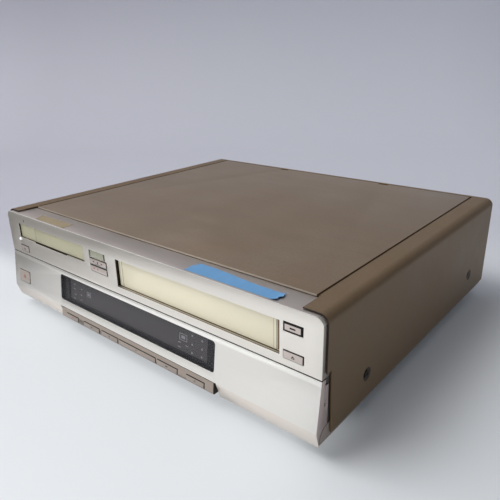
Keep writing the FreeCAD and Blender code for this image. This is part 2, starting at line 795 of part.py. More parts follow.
def inner_panel():
    """Fixed panel seen when the flap is down."""
    y0 = inner_front
    y1 = inner_back
    top = split_z - 0.3
    low = pivot_z + nose_radius + 1.0
    plate = block(-panel_half + 0.4, panel_half - 0.4, y0, y1, low, top)
    lower_half = arm_inner() - 14.0
    plate = plate.fuse(block(-lower_half, lower_half, y0, y1, strip_foot_height + 0.4, low))
    rim_in = panel_half - cheek
    rim_out = panel_half - 0.2
    rim = block(rim_in, rim_out, face_y + cheek_depth + fit_gap, y0 + 12, pivot_z + nose_radius + 0.3, top)
    rim = rim.fuse(block(rim_in, rim_out, face_y + 5.8, face_y + 10, flap_top - 4.6, top))
    x0, x1, z0, z1 = display_span()
    shelf = block(x0 - 9.0, x1 + 9.0, y1 - 0.5, y0 + 14.0, shelf_top() - shelf_thickness, shelf_top())
    display_hole = block(x0 - 3.0, x1 + 3.0, y0 - 1, y1 + 1, z0 - 1.0, z1 + 1.0)
    collar_front = face_y + dial_setback + dial_thickness + hinge_gap
    collar = rod_y(dial_x, collar_front, y1, dial_z, collar_radius())
    bore = rod_y(dial_x, collar_front - 1, y1 + 1, dial_z, dial_shaft_radius + running_gap)
    jack_holes = [rod_y(jx, y0 - 1, y1 + 1, jz, jack_radius + 1.4) for jx, jz in front_jack_places()]
    body = join([plate, shelf, collar] + both_sides(rim))
    hub_room = both_sides(block(arm_inner() - 5.4, arm_outer() + 0.4, y0 - 1, y0 + 5, pan_z, pivot_z + 15.0))
    return body.cut([display_hole, bore] + jack_holes + hub_room)


def display_tube():
    x0, x1, z0, z1 = display_span()
    glass = block(x0, x1, inner_back - display_thickness, inner_back, z0, z1)
    seal = block(x0 - 2.5, x0, inner_back - 1.6, inner_back, z0 + 5.0, z1 - 5.0)
    return join([glass, seal])


def display_board():
    x0, x1, z0, z1 = display_span()
    return block(x0 - 7.0, x1 + 7.0, inner_back, inner_back + board_thickness, shelf_top() + 0.3, z1 + 3.0)


def key_board():
    """Switch board behind the transport keys, standing on the strip's floor."""
    y0 = face_y + key_length + key_stroke + switch_gap
    z0 = strip_foot_height - 1.6 + strip_wall
    out = strip_width / 2 - 5.3
    board = block(-out, out, y0, y0 + board_thickness, z0, key_top_height + 1.6)
    caps = [block((a + b) / 2 - 2, (a + b) / 2 + 2, y0 - 0.4, y0, z0 + 1.2, z0 + 4.0) for a, b in key_spans]
    return join([board] + caps)


def flap_catch():
    """Push catch that holds the flap's top lip."""
    x0 = window_centre + window_width / 2 + 5.0
    return block(x0, x0 + 8.0, face_y + 6.2, inner_front, flap_top - 6.0, flap_top - 0.6)


def front_jack_places():
    return [(-panel_half + inset, at_drop(front_jack_drop)) for inset in front_jack_insets]


def front_jacks():
    y0 = inner_front - 2.0
    y1 = inner_front + 12.0
    z = at_drop(front_jack_drop)
    first = -panel_half + front_jack_insets[0]
    last = -panel_half + front_jack_insets[-1]
    body = block(first - 9.0, last + 9.0, inner_back, y1, z - 8.0, z + 8.0)
    sockets = [rod_y(x, y0, y1, z, jack_radius + 0.6) for x, z in front_jack_places()]
    bores = [rod_y(x, y0 - 1, y0 + 9, z, jack_bore) for x, z in front_jack_places()]
    return join([body] + sockets).cut(bores)


def jog_dial():
    """Inner dial with a finger dimple, on its own shaft."""
    x, z = dial_x, dial_z
    front = face_y + dial_setback
    back = front + dial_thickness
    dial = rod_y(x, front, back, z, dial_radius)
    dimple = Part.makeSphere(finger_radius, Vector(x + dial_radius / 2, front - 0.7 * finger_radius, z))
    shaft = rod_y(x, back, back + dial_shaft_length, z, dial_shaft_radius)
    return join([dial, shaft]).cut(dimple)


def shuttle_ring():
    """Sprung ring round the dial, its web turning on the panel's collar."""
    x, z = dial_x, dial_z
    back = inner_front - fit_gap - ring_web
    front = back - ring_thickness
    ring = rod_y(x, front, back, z, ring_radius)
    ring = ring.cut(rod_y(x, front - 1, back + 1, z, dial_radius + ring_gap))
    web = rod_y(x, back, back + ring_web, z, ring_radius)
    web = web.cut(rod_y(x, front, back + 2 * ring_web, z, collar_radius() + running_gap))
    nib = block(x - 1.2, x + 1.2, front - 0.5, front + 2, z + dial_radius + 1.4, z + ring_radius - 1.0)
    return join([ring, web, nib])


def collar_radius():
    return dial_shaft_radius + dial_collar_wall


# Boards and supplies

def board_z():
    return pan_z + board_height


def board_area():
    """Left, right, front and back edge of the main board."""
    return dv_centre + dv_half() + 13.2, vhs_centre + vhs_half() - 14.7, face_y + 118.0, rear_y - 22.0


def board_posts():
    x0, x1, y0, y1 = board_area()
    return [(x, y) for x in (x0 + 8.0, x1 - 12.0) for y in (y0 + 12.0, y1 - 11.0)]


def chip_places():
    """Middle and width of each square package on the main board."""
    x0, x1, y0, y1 = board_area()
    return [(x0 + 24.0, y0 + 42.0, 24.0), (x0 + 72.0, y0 + 57.0, 30.0), (x1 - 67.0, y0 + 52.0, 20.0),
            (x0 + 22.0, y1 - 51.0, 18.0), (x0 + 92.0, y1 - 46.0, 26.0), (x1 - 42.0, y1 - 56.0, 22.0)]


def main_board():
    x0, x1, y0, y1 = board_area()
    z = board_z()
    board = block(x0, x1, y0, y1, z, z + board_thickness)
    chips = [block(x - s / 2, x + s / 2, y - s / 2, y + s / 2, z + board_thickness - 0.1,
                   z + board_thickness + 2.4) for x, y, s in chip_places()]
    post_room = [rod_z(x, y, z - 1, z + 5, 5.0) for x, y in vhs_post_places() + dv_post_places()]
    return join([board] + chips).cut(post_room)


def supply_area():
    x0 = -pan_half + 17.4
    y1 = rear_y - 42.0
    return x0, x0 + 104.0, y1 - 101.0, y1


def power_supply():
    x0, x1, y0, y1 = supply_area()
    z = pan_z + pan_thickness + 5.0
    board = block(x0, x1, y0, y1, z, z + board_thickness)
    legs = [rod_z(x, y, pan_z + pan_thickness, z, 3.0) for x in (x0 + 8, x1 - 8) for y in (y0 + 8, y1 - 8)]
    cans = [rod_z(x0 + 16, y1 - 22, z + 1, z + 34, 11.0), rod_z(x0 + 42, y1 - 20, z + 1, z + 28, 9.0)]
    sinks = [block(x1 - 14, x1 - 11, y0 + 12, y1 - 12, z + 1, z + 34)]
    sinks += [block(x1 - 20, x1 - 14, y0 + 14 + k * 9, y0 + 16 + k * 9, z + 6, z + 32) for k in range(8)]
    return join([board] + legs + cans + sinks)


def transformer():
    x0, x1, y0, y1 = supply_area()
    z = pan_z + pan_thickness + 5.0 + board_thickness
    core = block(x0 + 14, x0 + 58, y0 + 10, y0 + 46, z + 4, z + 40)
    coil = rod_y(x0 + 36, y0 + 3, y0 + 53, z + 22, 14.0)
    base = block(x0 + 12, x0 + 60, y0 + 8, y0 + 48, z, z + 4)
    return join([core, coil, base])


# Rear sockets

def jack_places():
    return [(x, z) for x in jack_xs for z in jack_heights]


def rear_jacks():
    """Blocks of round sockets, each row on one moulded body."""
    y0 = rear_panel_y - 12.0
    shapes = []
    for first, last in (jack_xs[:2], jack_xs[2:]):
        x0 = first - 7.0
        x1 = last + 7.0
        body = block(x0, x1, y0, rear_panel_y - 0.2, jack_heights[-1] - 8.0, jack_heights[0] + 8.0)
        near = [(x, z) for x, z in jack_places() if x0 < x < x1]
        collars = [block(x - 6.8, x + 6.8, rear_panel_y - 1, rear_panel_y + 1.6, z - 6.8, z + 6.8)
                   for x, z in near]
        sleeves = [rod_y(x, rear_panel_y, rear_y + rear_reach, z, jack_radius) for x, z in near]
        bores = [rod_y(x, rear_y + rear_reach - 9, rear_y + rear_reach + 1, z, jack_bore) for x, z in near]
        shapes.append(join([body] + collars + sleeves).cut(bores))
    return group(shapes)


def mini_din_sockets():
    y0 = rear_panel_y - 12.0
    shapes = []
    for x, z in mini_din_places:
        body = block(x - 7.5, x + 7.5, y0, rear_panel_y - 0.2, z - 7.5, z + 7.5)
        face = rod_y(x, rear_panel_y - 1, rear_panel_y + 2.0, z, 6.2)
        ring = rod_y(x, rear_panel_y - 5, rear_panel_y + 3, z, 4.6).cut(
            rod_y(x, rear_panel_y - 6, rear_panel_y + 4, z, 3.7))
        pins = [rod_y(x + 1.9 * math.cos(a), rear_panel_y - 4, rear_panel_y + 3, z + 1.9 * math.sin(a), 0.5)
                for a in (0.4, 1.2, 1.9, 2.7)]
        shapes.append(join([body, face]).cut([ring] + pins))
    return group(shapes)


def digital_socket():
    x, z = digital_place
    body = block(x - 5.4, x + 5.4, rear_panel_y - 12.0, rear_panel_y - 0.2, z - 4.4, z + 4.4)
    face = block(x - 4.0, x + 4.0, rear_panel_y - 1, rear_panel_y + 1.4, z - 3.0, z + 3.0)
    well = block(x - 2.8, x + 2.8, rear_panel_y - 7, rear_panel_y + 2, z - 1.8, z + 1.8)
    return join([body, face]).cut(well)


def aerial_sockets():
    x0 = aerial_places[0][0] - 10.0
    x1 = aerial_places[-1][0] + 10.0
    z0 = aerial_places[-1][1] - 10.0
    z1 = aerial_places[0][1] + 10.0
    can = block(x0, x1, rear_panel_y - 40.0, rear_panel_y - 0.2, z0, z1)
    threads = [rod_y(x, rear_panel_y - 1, rear_y + rear_reach, z, aerial_radius) for x, z in aerial_places]
    pins = [rod_y(x, rear_y - 6, rear_y + rear_reach + 1, z, 1.4) for x, z in aerial_places]
    return join([can] + threads).cut(pins)


def ac_inlet():
    x, z = inlet_x, inlet_height
    body = block(x - 12.0, x + 12.0, rear_panel_y - 16.0, rear_panel_y + 2.6, z - 8.0, z + 8.0)
    flange = block(x - 14.5, x + 14.5, rear_panel_y - 3.0, rear_panel_y - 0.2, z - 10.5, z + 10.5)
    well = rounded_block_y(x - 9.6, x + 9.6, rear_panel_y - 11.0, rear_panel_y + 4, z - 5.0, z + 5.0, 4.4)
    prongs = [rod_y(x + side * 4.0, rear_panel_y - 12.0, rear_panel_y - 1.0, z, 1.2) for side in (-1, 1)]
    return join([join([body, flange]).cut(well)] + prongs)


def fan_frame():
    x, z = fan_x, fan_height
    y0 = rear_panel_y - fan_depth
    side = fan_radius + 3
    frame_part = rounded_block_y(x - side, x + side, y0, rear_panel_y, z - side, z + side, 3.0)
    frame_part = frame_part.cut(rod_y(x, y0 - 1, rear_panel_y + 1, z, fan_radius))
    spokes = [block(x - fan_radius - 1, x + fan_radius + 1, y0, y0 + 2, z - 1.5, z + 1.5),
              block(x - 1.5, x + 1.5, y0, y0 + 2, z - fan_radius - 1, z + fan_radius + 1)]
    post = rod_y(x, y0 + 1, y0 + 10, z, 2.0)
    return join([frame_part] + spokes + [post])


def fan_rotor():
    x, z = fan_x, fan_height
    y0 = rear_panel_y - fan_depth + 2.6
    hub = rod_y(x, y0, y0 + 10.6, z, 10.0)
    hub = hub.cut(rod_y(x, y0 - 1, y0 + 8.0, z, 2.0 + running_gap))
    blades = []
    for k in range(7):
        blade = block(x - 1.0, x + 1.0, y0 + 0.8, y0 + 10.0, z + 9.0, z + fan_radius - 0.8)
        blade.rotate(Vector(x, y0 + 5, z), Vector(0, 0, 1), 32.0)
        blade.rotate(Vector(x, y0 + 5, z), Vector(0, 1, 0), k * 360.0 / 7)
        blades.append(blade)
    return join([hub] + blades)


# Large cassette machinery

def vhs_y(setback):
    return face_y + setback


def vhs_half():
    return vhs_slot_width / 2


def vhs_post_places():
    out = vhs_half() + 3.5
    return [(vhs_centre + side * out, face_y + y) for side in (-1, 1) for y in (60.0, 236.0)]


def vhs_deck_frame():
    out = vhs_half() + 8.0
    plate = block(vhs_centre - out, vhs_centre + out, vhs_y(40), vhs_y(252), vhs_plate_z, vhs_plate_z + 1.6)
    walls = [block(vhs_centre + side * (vhs_half() + 6.2) - 0.7, vhs_centre + side * (vhs_half() + 6.2) + 0.7,
                   vhs_y(vhs_holder_setback), vhs_y(190), vhs_plate_z, at_drop(13.0)) for side in (-1, 1)]
    rails = []
    for side in (-1, 1):
        x = vhs_centre + side * (vhs_half() + 4.5)
        rails.append(block(x - 1.2, x + 1.2, vhs_y(40), vhs_y(186), vhs_plate_z + 1.5, vhs_plate_z + 4.0))
    bridge = block(vhs_centre - out + 2, vhs_centre + out - 2, vhs_y(172), vhs_y(188),
                   at_drop(13.0) - 0.1, at_drop(12.0))
    body = join([plate] + walls + rails + [bridge])
    x0 = vhs_centre
    spindles = [rod_z(x0 + side * vhs_reel_half_pitch, vhs_y(vhs_reel_setback),
                      vhs_plate_z, vhs_plate_z + 9.0, vhs_spindle_radius) for side in (-1, 1)]
    capstan_bore = rod_z(x0 + capstan_offset, vhs_y(capstan_setback), vhs_plate_z - 1, vhs_plate_z + 3,
                         capstan_radius + running_gap)
    return join([body] + spindles).cut(capstan_bore)


def reel_table(side):
    x = vhs_centre + side * vhs_reel_half_pitch
    y = vhs_y(vhs_reel_setback)
    z = vhs_plate_z + 1.6 + hinge_gap
    disc = rod_z(x, y, z, z + 2.4, vhs_reel_radius)
    hub = rod_z(x, y, z, z + 9.4, 6.0)
    fins = []
    for k in range(3):
        fin = block(x - 0.8, x + 0.8, y + 4, y + 8.4, z + 2, z + 9.0)
        fin.rotate(Vector(x, y, z), Vector(0, 0, 1), k * 120.0)
        fins.append(fin)
    bore = rod_z(x, y, z - 1, z + 8.0, vhs_spindle_radius + running_gap)
    return join([disc, hub] + fins).cut(bore)


def vhs_supply_reel():
    return reel_table(-1)


def vhs_takeup_reel():
    return reel_table(1)


def vhs_drum_base():
    """Lower drum on its casting, tilted with the head drum."""
    x = vhs_centre
    y = vhs_y(vhs_drum_setback)
    z = vhs_plate_z + 1.6
    tilted = rod_z(x, y, z + 5.0, z + 22.0, vhs_drum_radius)
    ledge = rod_z(x, y, z + 5.0, z + 9.0, vhs_drum_radius + 0.6)
    shaft = rod_z(x, y, z + 20.0, z + 40.0, 3.0)
    tilted = tilt(join([tilted, ledge, shaft]), x, y, z, -vhs_drum_tilt)
    casting = block(x - 26, x + 26, y - 24, y + 26, z, z + 9.0)
    return join([casting, tilted])


def vhs_head_drum():
    x = vhs_centre
    y = vhs_y(vhs_drum_setback)
    z = vhs_plate_z + 1.6
    drum = rod_z(x, y, z + 22.4, z + 39.0, vhs_drum_radius)
    cap = rod_z(x, y, z + 39.0, z + 42.0, 12.0)
    bore = rod_z(x, y, z + 21.0, z + 40.4, 3.0 + running_gap)
    windows = [rod_z(x + side * vhs_drum_radius, y, z + 22.0, z + 25.0, 2.2) for side in (-1, 1)]
    drum = join([drum, cap]).cut([bore] + windows)
    return tilt(drum, x, y, z, -vhs_drum_tilt)


def vhs_capstan():
    """Capstan shaft with its flywheel under the deck plate."""
    x = vhs_centre + capstan_offset
    y = vhs_y(capstan_setback)
    wheel = rod_z(x, y, vhs_plate_z - 7.0, vhs_plate_z - 0.4, flywheel_radius)
    shaft = rod_z(x, y, vhs_plate_z - 7.0, vhs_plate_z + 30.0, capstan_radius)
    return join([wheel, shaft])


def vhs_slide_plates():
    """Pair of side plates that carry the holder inwards along the deck rails."""
    shapes = []
    top = at_drop(15.0)
    for side in (-1, 1):
        x = vhs_centre + side * (vhs_half() + 4.5)
        z0 = vhs_plate_z + 4.0 + hinge_gap
        plate = block(x - 0.5, x + 0.5, vhs_y(vhs_holder_setback + 5), vhs_y(118), z0, top)
        foot = block(x - 0.8, x + 0.8, vhs_y(40), vhs_y(118), z0, z0 + 2.0)
        slots = [block(x - 2, x + 2, vhs_y(y) - 1.6, vhs_y(y) + 1.6, vhs_pin_z() - vhs_travel_down - 1.7,
                       vhs_pin_z() + 1.7) for y in vhs_pin_setbacks]
        shapes.append(join([plate, foot]).cut(slots))
    return group(shapes)


def vhs_pin_z():
    return vhs_slot_floor + 12.0


def vhs_holder():
    """Cassette cradle: floor with a large window, side walls and folded top rails."""
    floor_z = vhs_slot_floor - 0.6
    x0 = vhs_centre - vhs_half() + 0.1
    x1 = vhs_centre + vhs_half() - 0.1
    y0 = vhs_y(vhs_holder_setback)
    y1 = y0 + vhs_cassette_depth - 2.0
    wall = 0.8
    floor = block(x0 - wall, x1 + wall, y0, y1, floor_z - wall, floor_z)
    window = block(vhs_centre - 62, vhs_centre + 62, y0 + 34, y1 + 1, floor_z - 2, floor_z + 1)
    top = at_drop(vhs_slot_drop) - 0.2
    sides = [block(x0 - wall, x0, y0, y1, floor_z - wall, top),
             block(x1, x1 + wall, y0, y1, floor_z - wall, top)]
    rails = [block(x0 - wall, x0 + 9, y0 + 30, y1, top - wall, top),
             block(x1 - 9, x1 + wall, y0 + 30, y1, top - wall, top)]
    pins = []
    for y in vhs_pin_setbacks:
        pins.append(rod_x(x0 - 5.3, x0 - wall + 0.1, vhs_y(y), vhs_pin_z(), 1.5))
        pins.append(rod_x(x1 + wall - 0.1, x1 + 5.3, vhs_y(y), vhs_pin_z(), 1.5))
    return join([floor.cut(window)] + sides + rails + pins)


# Small cassette machinery

def dv_half():
    return dv_slot_width / 2


def dv_post_places():
    out = dv_half() + 2.0
    return [(dv_centre + side * out, face_y + y) for side in (-1, 1) for y in (50.0, 150.0)]


def dv_deck_frame():
    out = dv_half() + 5.6
    plate = block(dv_centre - out, dv_centre + out, vhs_y(30), vhs_y(160), dv_plate_z, dv_plate_z + 1.4)
    walls = [block(dv_centre + side * (out - 0.6) - 0.6, dv_centre + side * (out - 0.6) + 0.6,
                   vhs_y(18), vhs_y(118), dv_plate_z, at_drop(11.5)) for side in (-1, 1)]
    slots = []
    for y in dv_pin_setbacks:
        slots.append(block(dv_centre - out - 1, dv_centre + out + 1, vhs_y(y) - 1.3, vhs_y(y) + 1.3,
                           dv_pin_z() - dv_travel_down - 1.4, dv_pin_z() + 1.4))
    ends = block(dv_centre - out, dv_centre + out, vhs_y(118) - 1.2, vhs_y(118), at_drop(20.0), at_drop(11.5))
    spindles = [rod_z(dv_centre + side * dv_reel_half_pitch, vhs_y(dv_reel_setback),
                      dv_plate_z, dv_plate_z + 5.0, dv_spindle_radius) for side in (-1, 1)]
    return join([plate] + [w.cut(slots) for w in walls] + [ends] + spindles)


def dv_reel(side):
    x = dv_centre + side * dv_reel_half_pitch
    y = vhs_y(dv_reel_setback)
    z = dv_plate_z + 1.4 + hinge_gap
    disc = rod_z(x, y, z, z + 1.4, 8.0)
    hub = rod_z(x, y, z, z + 5.0, 3.0)
    return join([disc, hub]).cut(rod_z(x, y, z - 1, z + 4.0, dv_spindle_radius + running_gap))


def dv_supply_reel():
    return dv_reel(-1)


def dv_takeup_reel():
    return dv_reel(1)


def dv_pin_z():
    return dv_slot_floor + 8.0


def dv_holder():
    floor_z = dv_slot_floor - 0.5
    x0 = dv_centre - dv_half() + 0.1
    x1 = dv_centre + dv_half() - 0.1
    y0 = vhs_y(dv_holder_setback)
    y1 = y0 + dv_cassette_depth - 2.0
    wall = 0.8
    floor = block(x0 - wall, x1 + wall, y0, y1, floor_z - wall, floor_z)
    window = block(dv_centre - 34, dv_centre + 34, y0 + 26, y1 + 1, floor_z - 2, floor_z + 1)
    top = at_drop(dv_slot_drop) - 0.2
    sides = [block(x0 - wall, x0, y0, y1, floor_z - wall, top),
             block(x1, x1 + wall, y0, y1, floor_z - wall, top)]
    rails = [block(x0 - wall, x0 + 8, y0 + 22, y1, top - wall, top),
             block(x1 - 8, x1 + wall, y0 + 22, y1, top - wall, top)]
    pins = []
    for y in dv_pin_setbacks:
        pins.append(rod_x(x0 - 5.6, x0 - wall + 0.1, vhs_y(y), dv_pin_z(), 1.2))
        pins.append(rod_x(x1 + wall - 0.1, x1 + 5.6, vhs_y(y), dv_pin_z(), 1.2))
    return join([floor.cut(window)] + sides + rails + pins)


def dv_drum_base():
    x = dv_centre
    y = vhs_y(dv_drum_setback)
    z = dv_plate_z + 1.4
    lower = rod_z(x, y, z + 2.2, z + 9.0, dv_drum_radius)
    shaft = rod_z(x, y, z + 8.0, z + 18.0, 1.5)
    tilted = tilt(join([lower, shaft]), x, y, z, -dv_drum_tilt)
    return join([block(x - 9, x + 9, y - 8, y + 9, z, z + 4.0), tilted])


def dv_head_drum():
    x = dv_centre
    y = vhs_y(dv_drum_setback)
    z = dv_plate_z + 1.4
    drum = rod_z(x, y, z + 9.3, z + 17.0, dv_drum_radius)
    cap = rod_z(x, y, z + 17.0, z + 19.0, 4.5)
    bore = rod_z(x, y, z + 8.0, z + 18.3, 1.5 + running_gap)
    return tilt(join([drum, cap]).cut(bore), x, y, z, -dv_drum_tilt)


# Fasteners

def cover_screws():
    """Side screws in their dimples and the rear row, one solid each."""
    shapes = []
    for y, z in side_screw_centres():
        head = rod_x(half - dimple_depth + 0.7, half, y, z, 3.6)
        shank = rod_x(pan_half - 4.0, half - 0.5, y, z, 1.45)
        slot = block(half - 0.35, half + 1, y - 2.4, y + 2.4, z - 0.4, z + 0.4)
        cross = block(half - 0.35, half + 1, y - 0.4, y + 0.4, z - 2.4, z + 2.4)
        shapes.extend(both_sides(join([head, shank]).cut([slot, cross])))
    for x in rear_screw_xs():
        z = at_drop(5)
        head = rod_y(x, rear_y, rear_y + 1.8, z, 3.4)
        shank = rod_y(x, rear_y - 6, rear_y + 0.5, z, 1.45)
        slot = block(x - 2.2, x + 2.2, rear_y + 1.3, rear_y + 3, z - 0.4, z + 0.4)
        shapes.append(join([head, shank]).cut(slot))
    return group(shapes)


nodes = {
    "top_cover": top_cover,
    "top_plate": top_plate,
    "base_chassis": base_chassis,
    "feet": feet,
    "rear_panel": rear_panel,
    "front_bezel": front_bezel,
    "vhs_door": vhs_door,
    "dv_door": dv_door,
    "dub_lamp": dub_lamp,
    "status_lamp": status_lamp,
    "switch_boards": switch_boards,
    "flap": flap,
    "display_window": display_window,
    "power_button": power_button,
    "button_strip": button_strip,
    "end_blocks": end_blocks,
    "hinge_pins": hinge_pins,
    "inner_panel": inner_panel,
    "display_tube": display_tube,
    "display_board": display_board,
    "flap_catch": flap_catch,
    "front_jacks": front_jacks,
    "jog_dial": jog_dial,
    "shuttle_ring": shuttle_ring,
    "main_board": main_board,
    "power_supply": power_supply,
    "transformer": transformer,
    "rear_jacks": rear_jacks,
    "mini_din_sockets": mini_din_sockets,
    "digital_socket": digital_socket,
    "aerial_sockets": aerial_sockets,
    "ac_inlet": ac_inlet,
    "fan_frame": fan_frame,
    "fan_rotor": fan_rotor,
    "vhs_deck_frame": vhs_deck_frame,
    "vhs_supply_reel": vhs_supply_reel,
    "vhs_takeup_reel": vhs_takeup_reel,
    "vhs_drum_base": vhs_drum_base,
    "vhs_head_drum": vhs_head_drum,
    "vhs_capstan": vhs_capstan,
    "vhs_slide_plates": vhs_slide_plates,
    "vhs_holder": vhs_holder,
    "dv_deck_frame": dv_deck_frame,
    "dv_holder": dv_holder,
    "dv_supply_reel": dv_supply_reel,
    "dv_takeup_reel": dv_takeup_reel,
    "dv_drum_base": dv_drum_base,
    "dv_head_drum": dv_head_drum,
    "cover_screws": cover_screws,
}
button_spans = {
    "dv_eject_button": dv_eject_span,
    "dub_in_button": dub_in_span,
    "dub_out_button": dub_out_span,
    "picture_button": picture_span,
    "vhs_eject_button": vhs_eject_span,
}


def export(name, shape):
    shape.exportStep("parts/%s.step" % name)
    box = shape.BoundBox
    print("%-18s solids %d valid %s  x %.1f %.1f  y %.1f %.1f  z %.1f %.1f" % (
        name, len(shape.Solids), shape.isValid(), box.XMin, box.XMax, box.YMin, box.YMax, box.ZMin, box.ZMax))


os.makedirs("parts", exist_ok=True)
for node_name, make in nodes.items():
    export(node_name, make())
for node_name, node_span in button_spans.items():
    export(node_name, push_button(node_span))
for node_name, node_span in zip(key_names, key_spans):
    export(node_name, transport_key(node_span))
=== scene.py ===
import json
import logging
import math
from dataclasses import dataclass, field
from enum import Enum
from typing import Callable, Iterable, Sequence

import bmesh
import bpy
from mathutils import Matrix, Vector

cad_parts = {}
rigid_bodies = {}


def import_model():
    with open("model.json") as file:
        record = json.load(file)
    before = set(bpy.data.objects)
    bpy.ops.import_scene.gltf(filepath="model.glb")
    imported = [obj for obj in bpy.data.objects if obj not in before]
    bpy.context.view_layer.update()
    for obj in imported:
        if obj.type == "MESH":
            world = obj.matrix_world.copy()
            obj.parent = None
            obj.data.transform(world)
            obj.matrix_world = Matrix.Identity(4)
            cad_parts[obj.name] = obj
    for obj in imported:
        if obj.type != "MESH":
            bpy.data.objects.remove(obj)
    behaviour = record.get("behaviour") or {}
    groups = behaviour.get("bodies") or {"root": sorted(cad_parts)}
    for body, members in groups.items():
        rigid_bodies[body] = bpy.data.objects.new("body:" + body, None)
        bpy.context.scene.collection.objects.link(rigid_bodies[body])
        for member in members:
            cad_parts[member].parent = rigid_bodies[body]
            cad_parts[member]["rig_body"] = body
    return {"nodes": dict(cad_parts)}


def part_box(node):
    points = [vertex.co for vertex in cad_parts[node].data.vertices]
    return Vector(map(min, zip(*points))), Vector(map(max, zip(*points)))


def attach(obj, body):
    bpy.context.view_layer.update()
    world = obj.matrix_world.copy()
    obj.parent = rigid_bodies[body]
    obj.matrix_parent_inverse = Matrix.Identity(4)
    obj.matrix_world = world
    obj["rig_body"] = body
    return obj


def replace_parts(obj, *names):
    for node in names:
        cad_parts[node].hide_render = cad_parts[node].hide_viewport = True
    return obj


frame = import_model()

logging.basicConfig(level=logging.INFO, format="%(name)s: %(message)s")
LOG = logging.getLogger("deck")
MM = 0.001
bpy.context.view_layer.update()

Tone = tuple[int, int, int]
Point = tuple[float, float, float]
Flat = tuple[float, float]


def low(node: str) -> Vector:
    """Lowest corner of a CAD node, in millimetres."""
    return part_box(node)[0] / MM


def high(node: str) -> Vector:
    """Highest corner of a CAD node, in millimetres."""
    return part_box(node)[1] / MM


FACE = low("front_bezel").y
COVER_TOP = high("top_cover").z
PANEL_TOP = high("front_bezel").z
SPLIT = low("front_bezel").z
PANEL_HALF = high("front_bezel").x
FLAP_TOP = high("flap").z
SLOPE = math.radians(7.29)
SLOPE_NORMAL = (0.0, -math.cos(SLOPE), math.sin(SLOPE))
BIG = 400.0


def slope_y(z: float) -> float:
    """Y of the flap's sloping face at a height, in millimetres."""
    return FACE - (FLAP_TOP - z) * math.tan(SLOPE)


def linear(tone: Sequence[float]) -> tuple[float, float, float, float]:
    """Turn a screen colour of 0 to 255 into a linear colour with alpha."""
    channels = [c / 255 for c in tone]
    made = [c / 12.92 if c <= 0.04045 else ((c + 0.055) / 1.055) ** 2.4 for c in channels]
    return made[0], made[1], made[2], 1.0


class Graph:
    """Adds and links the nodes of one node tree."""

    def __init__(self, tree: bpy.types.NodeTree) -> None:
        """Keep the tree.

        Args:
            tree: The node tree to fill.
        """
        self.tree = tree

    def add(self, kind: str, sockets: dict | None = None, **settings: object) -> bpy.types.Node:
        """Add a node.

        Args:
            kind: Type name of the node.
            sockets: Values or sockets for its inputs, by name or number.
            **settings: Properties of the node itself.

        Returns:
            The new node.
        """
        node = self.tree.nodes.new(kind)
        for key, value in settings.items():
            setattr(node, key, value)
        for key, value in (sockets or {}).items():
            if isinstance(value, bpy.types.NodeSocket):
                self.tree.links.new(value, node.inputs[key])
            else:
                node.inputs[key].default_value = value
        return node

    def math(self, operation: str, first: object, second: object = 0.0, clamp: bool = False) -> bpy.types.NodeSocket:
        """Add a Math node and return its output.

        Args:
            operation: Name of the operation.
            first: First value or socket.
            second: Second value or socket.
            clamp: Whether the result stays between 0 and 1.

        Returns:
            The result socket.
        """
        prefix = "ShaderNodeMath"
        return self.add(prefix, {0: first, 1: second}, operation=operation, use_clamp=clamp).outputs[0]

    def vector(self, operation: str, first: object, second: object = (0.0, 0.0, 0.0)) -> bpy.types.Node:
        """Add a Vector Math node.

        Args:
            operation: Name of the operation.
            first: First vector or socket.
            second: Second vector or socket.

        Returns:
            The node.
        """
        return self.add("ShaderNodeVectorMath", {0: first, 1: second}, operation=operation)

    def mix(self, factor: object, first: object, second: object, blend: str = "MIX") -> bpy.types.NodeSocket:
        """Add a colour mix and return its result.

        Args:
            factor: Share of the second colour.
            first: First colour or socket.
            second: Second colour or socket.
            blend: Way of mixing.

        Returns:
            The result socket.
        """
        node = self.add("ShaderNodeMix", {0: factor, 6: first, 7: second}, data_type="RGBA", blend_type=blend)
        return node.outputs[2]


FLANGE = 0.9
GroupFill = Callable[[Graph, bpy.types.Node, bpy.types.Node], None]


def shader_group(name: str, inputs: Iterable[tuple], outputs: Iterable[tuple], fill: GroupFill) -> bpy.types.NodeTree:
    """Build a shader node group.

    Args:
        name: Name of the group.
        inputs: Name, socket type and default value of each input.
        outputs: Name and socket type of each output.
        fill: Function that adds the nodes between input and output.

    Returns:
        The group.
    """
    tree = bpy.data.node_groups.new(name, "ShaderNodeTree")
    for label, kind, default in inputs:
        socket = tree.interface.new_socket(label, in_out="INPUT", socket_type=kind)
        socket.default_value = default
    for label, kind in outputs:
        tree.interface.new_socket(label, in_out="OUTPUT", socket_type=kind)
    graph = Graph(tree)
    fill(graph, graph.add("NodeGroupInput"), graph.add("NodeGroupOutput"))
    return tree


def fill_grain(g: Graph, start: bpy.types.Node, end: bpy.types.Node) -> None:
    """Fine flakes of a sprayed or moulded surface."""
    noise = g.add("ShaderNodeTexNoise", {"Vector": start.outputs["Vector"], "Scale": start.outputs["Scale"],
                                         "Detail": 2.0})
    centred = g.math("SUBTRACT", noise.outputs["Fac"], 0.5)
    tone = g.math("ADD", g.math("MULTIPLY", centred, start.outputs["Amount"]), 1.0)
    g.tree.links.new(tone, end.inputs["Tone"])
    g.tree.links.new(noise.outputs["Fac"], end.inputs["Height"])


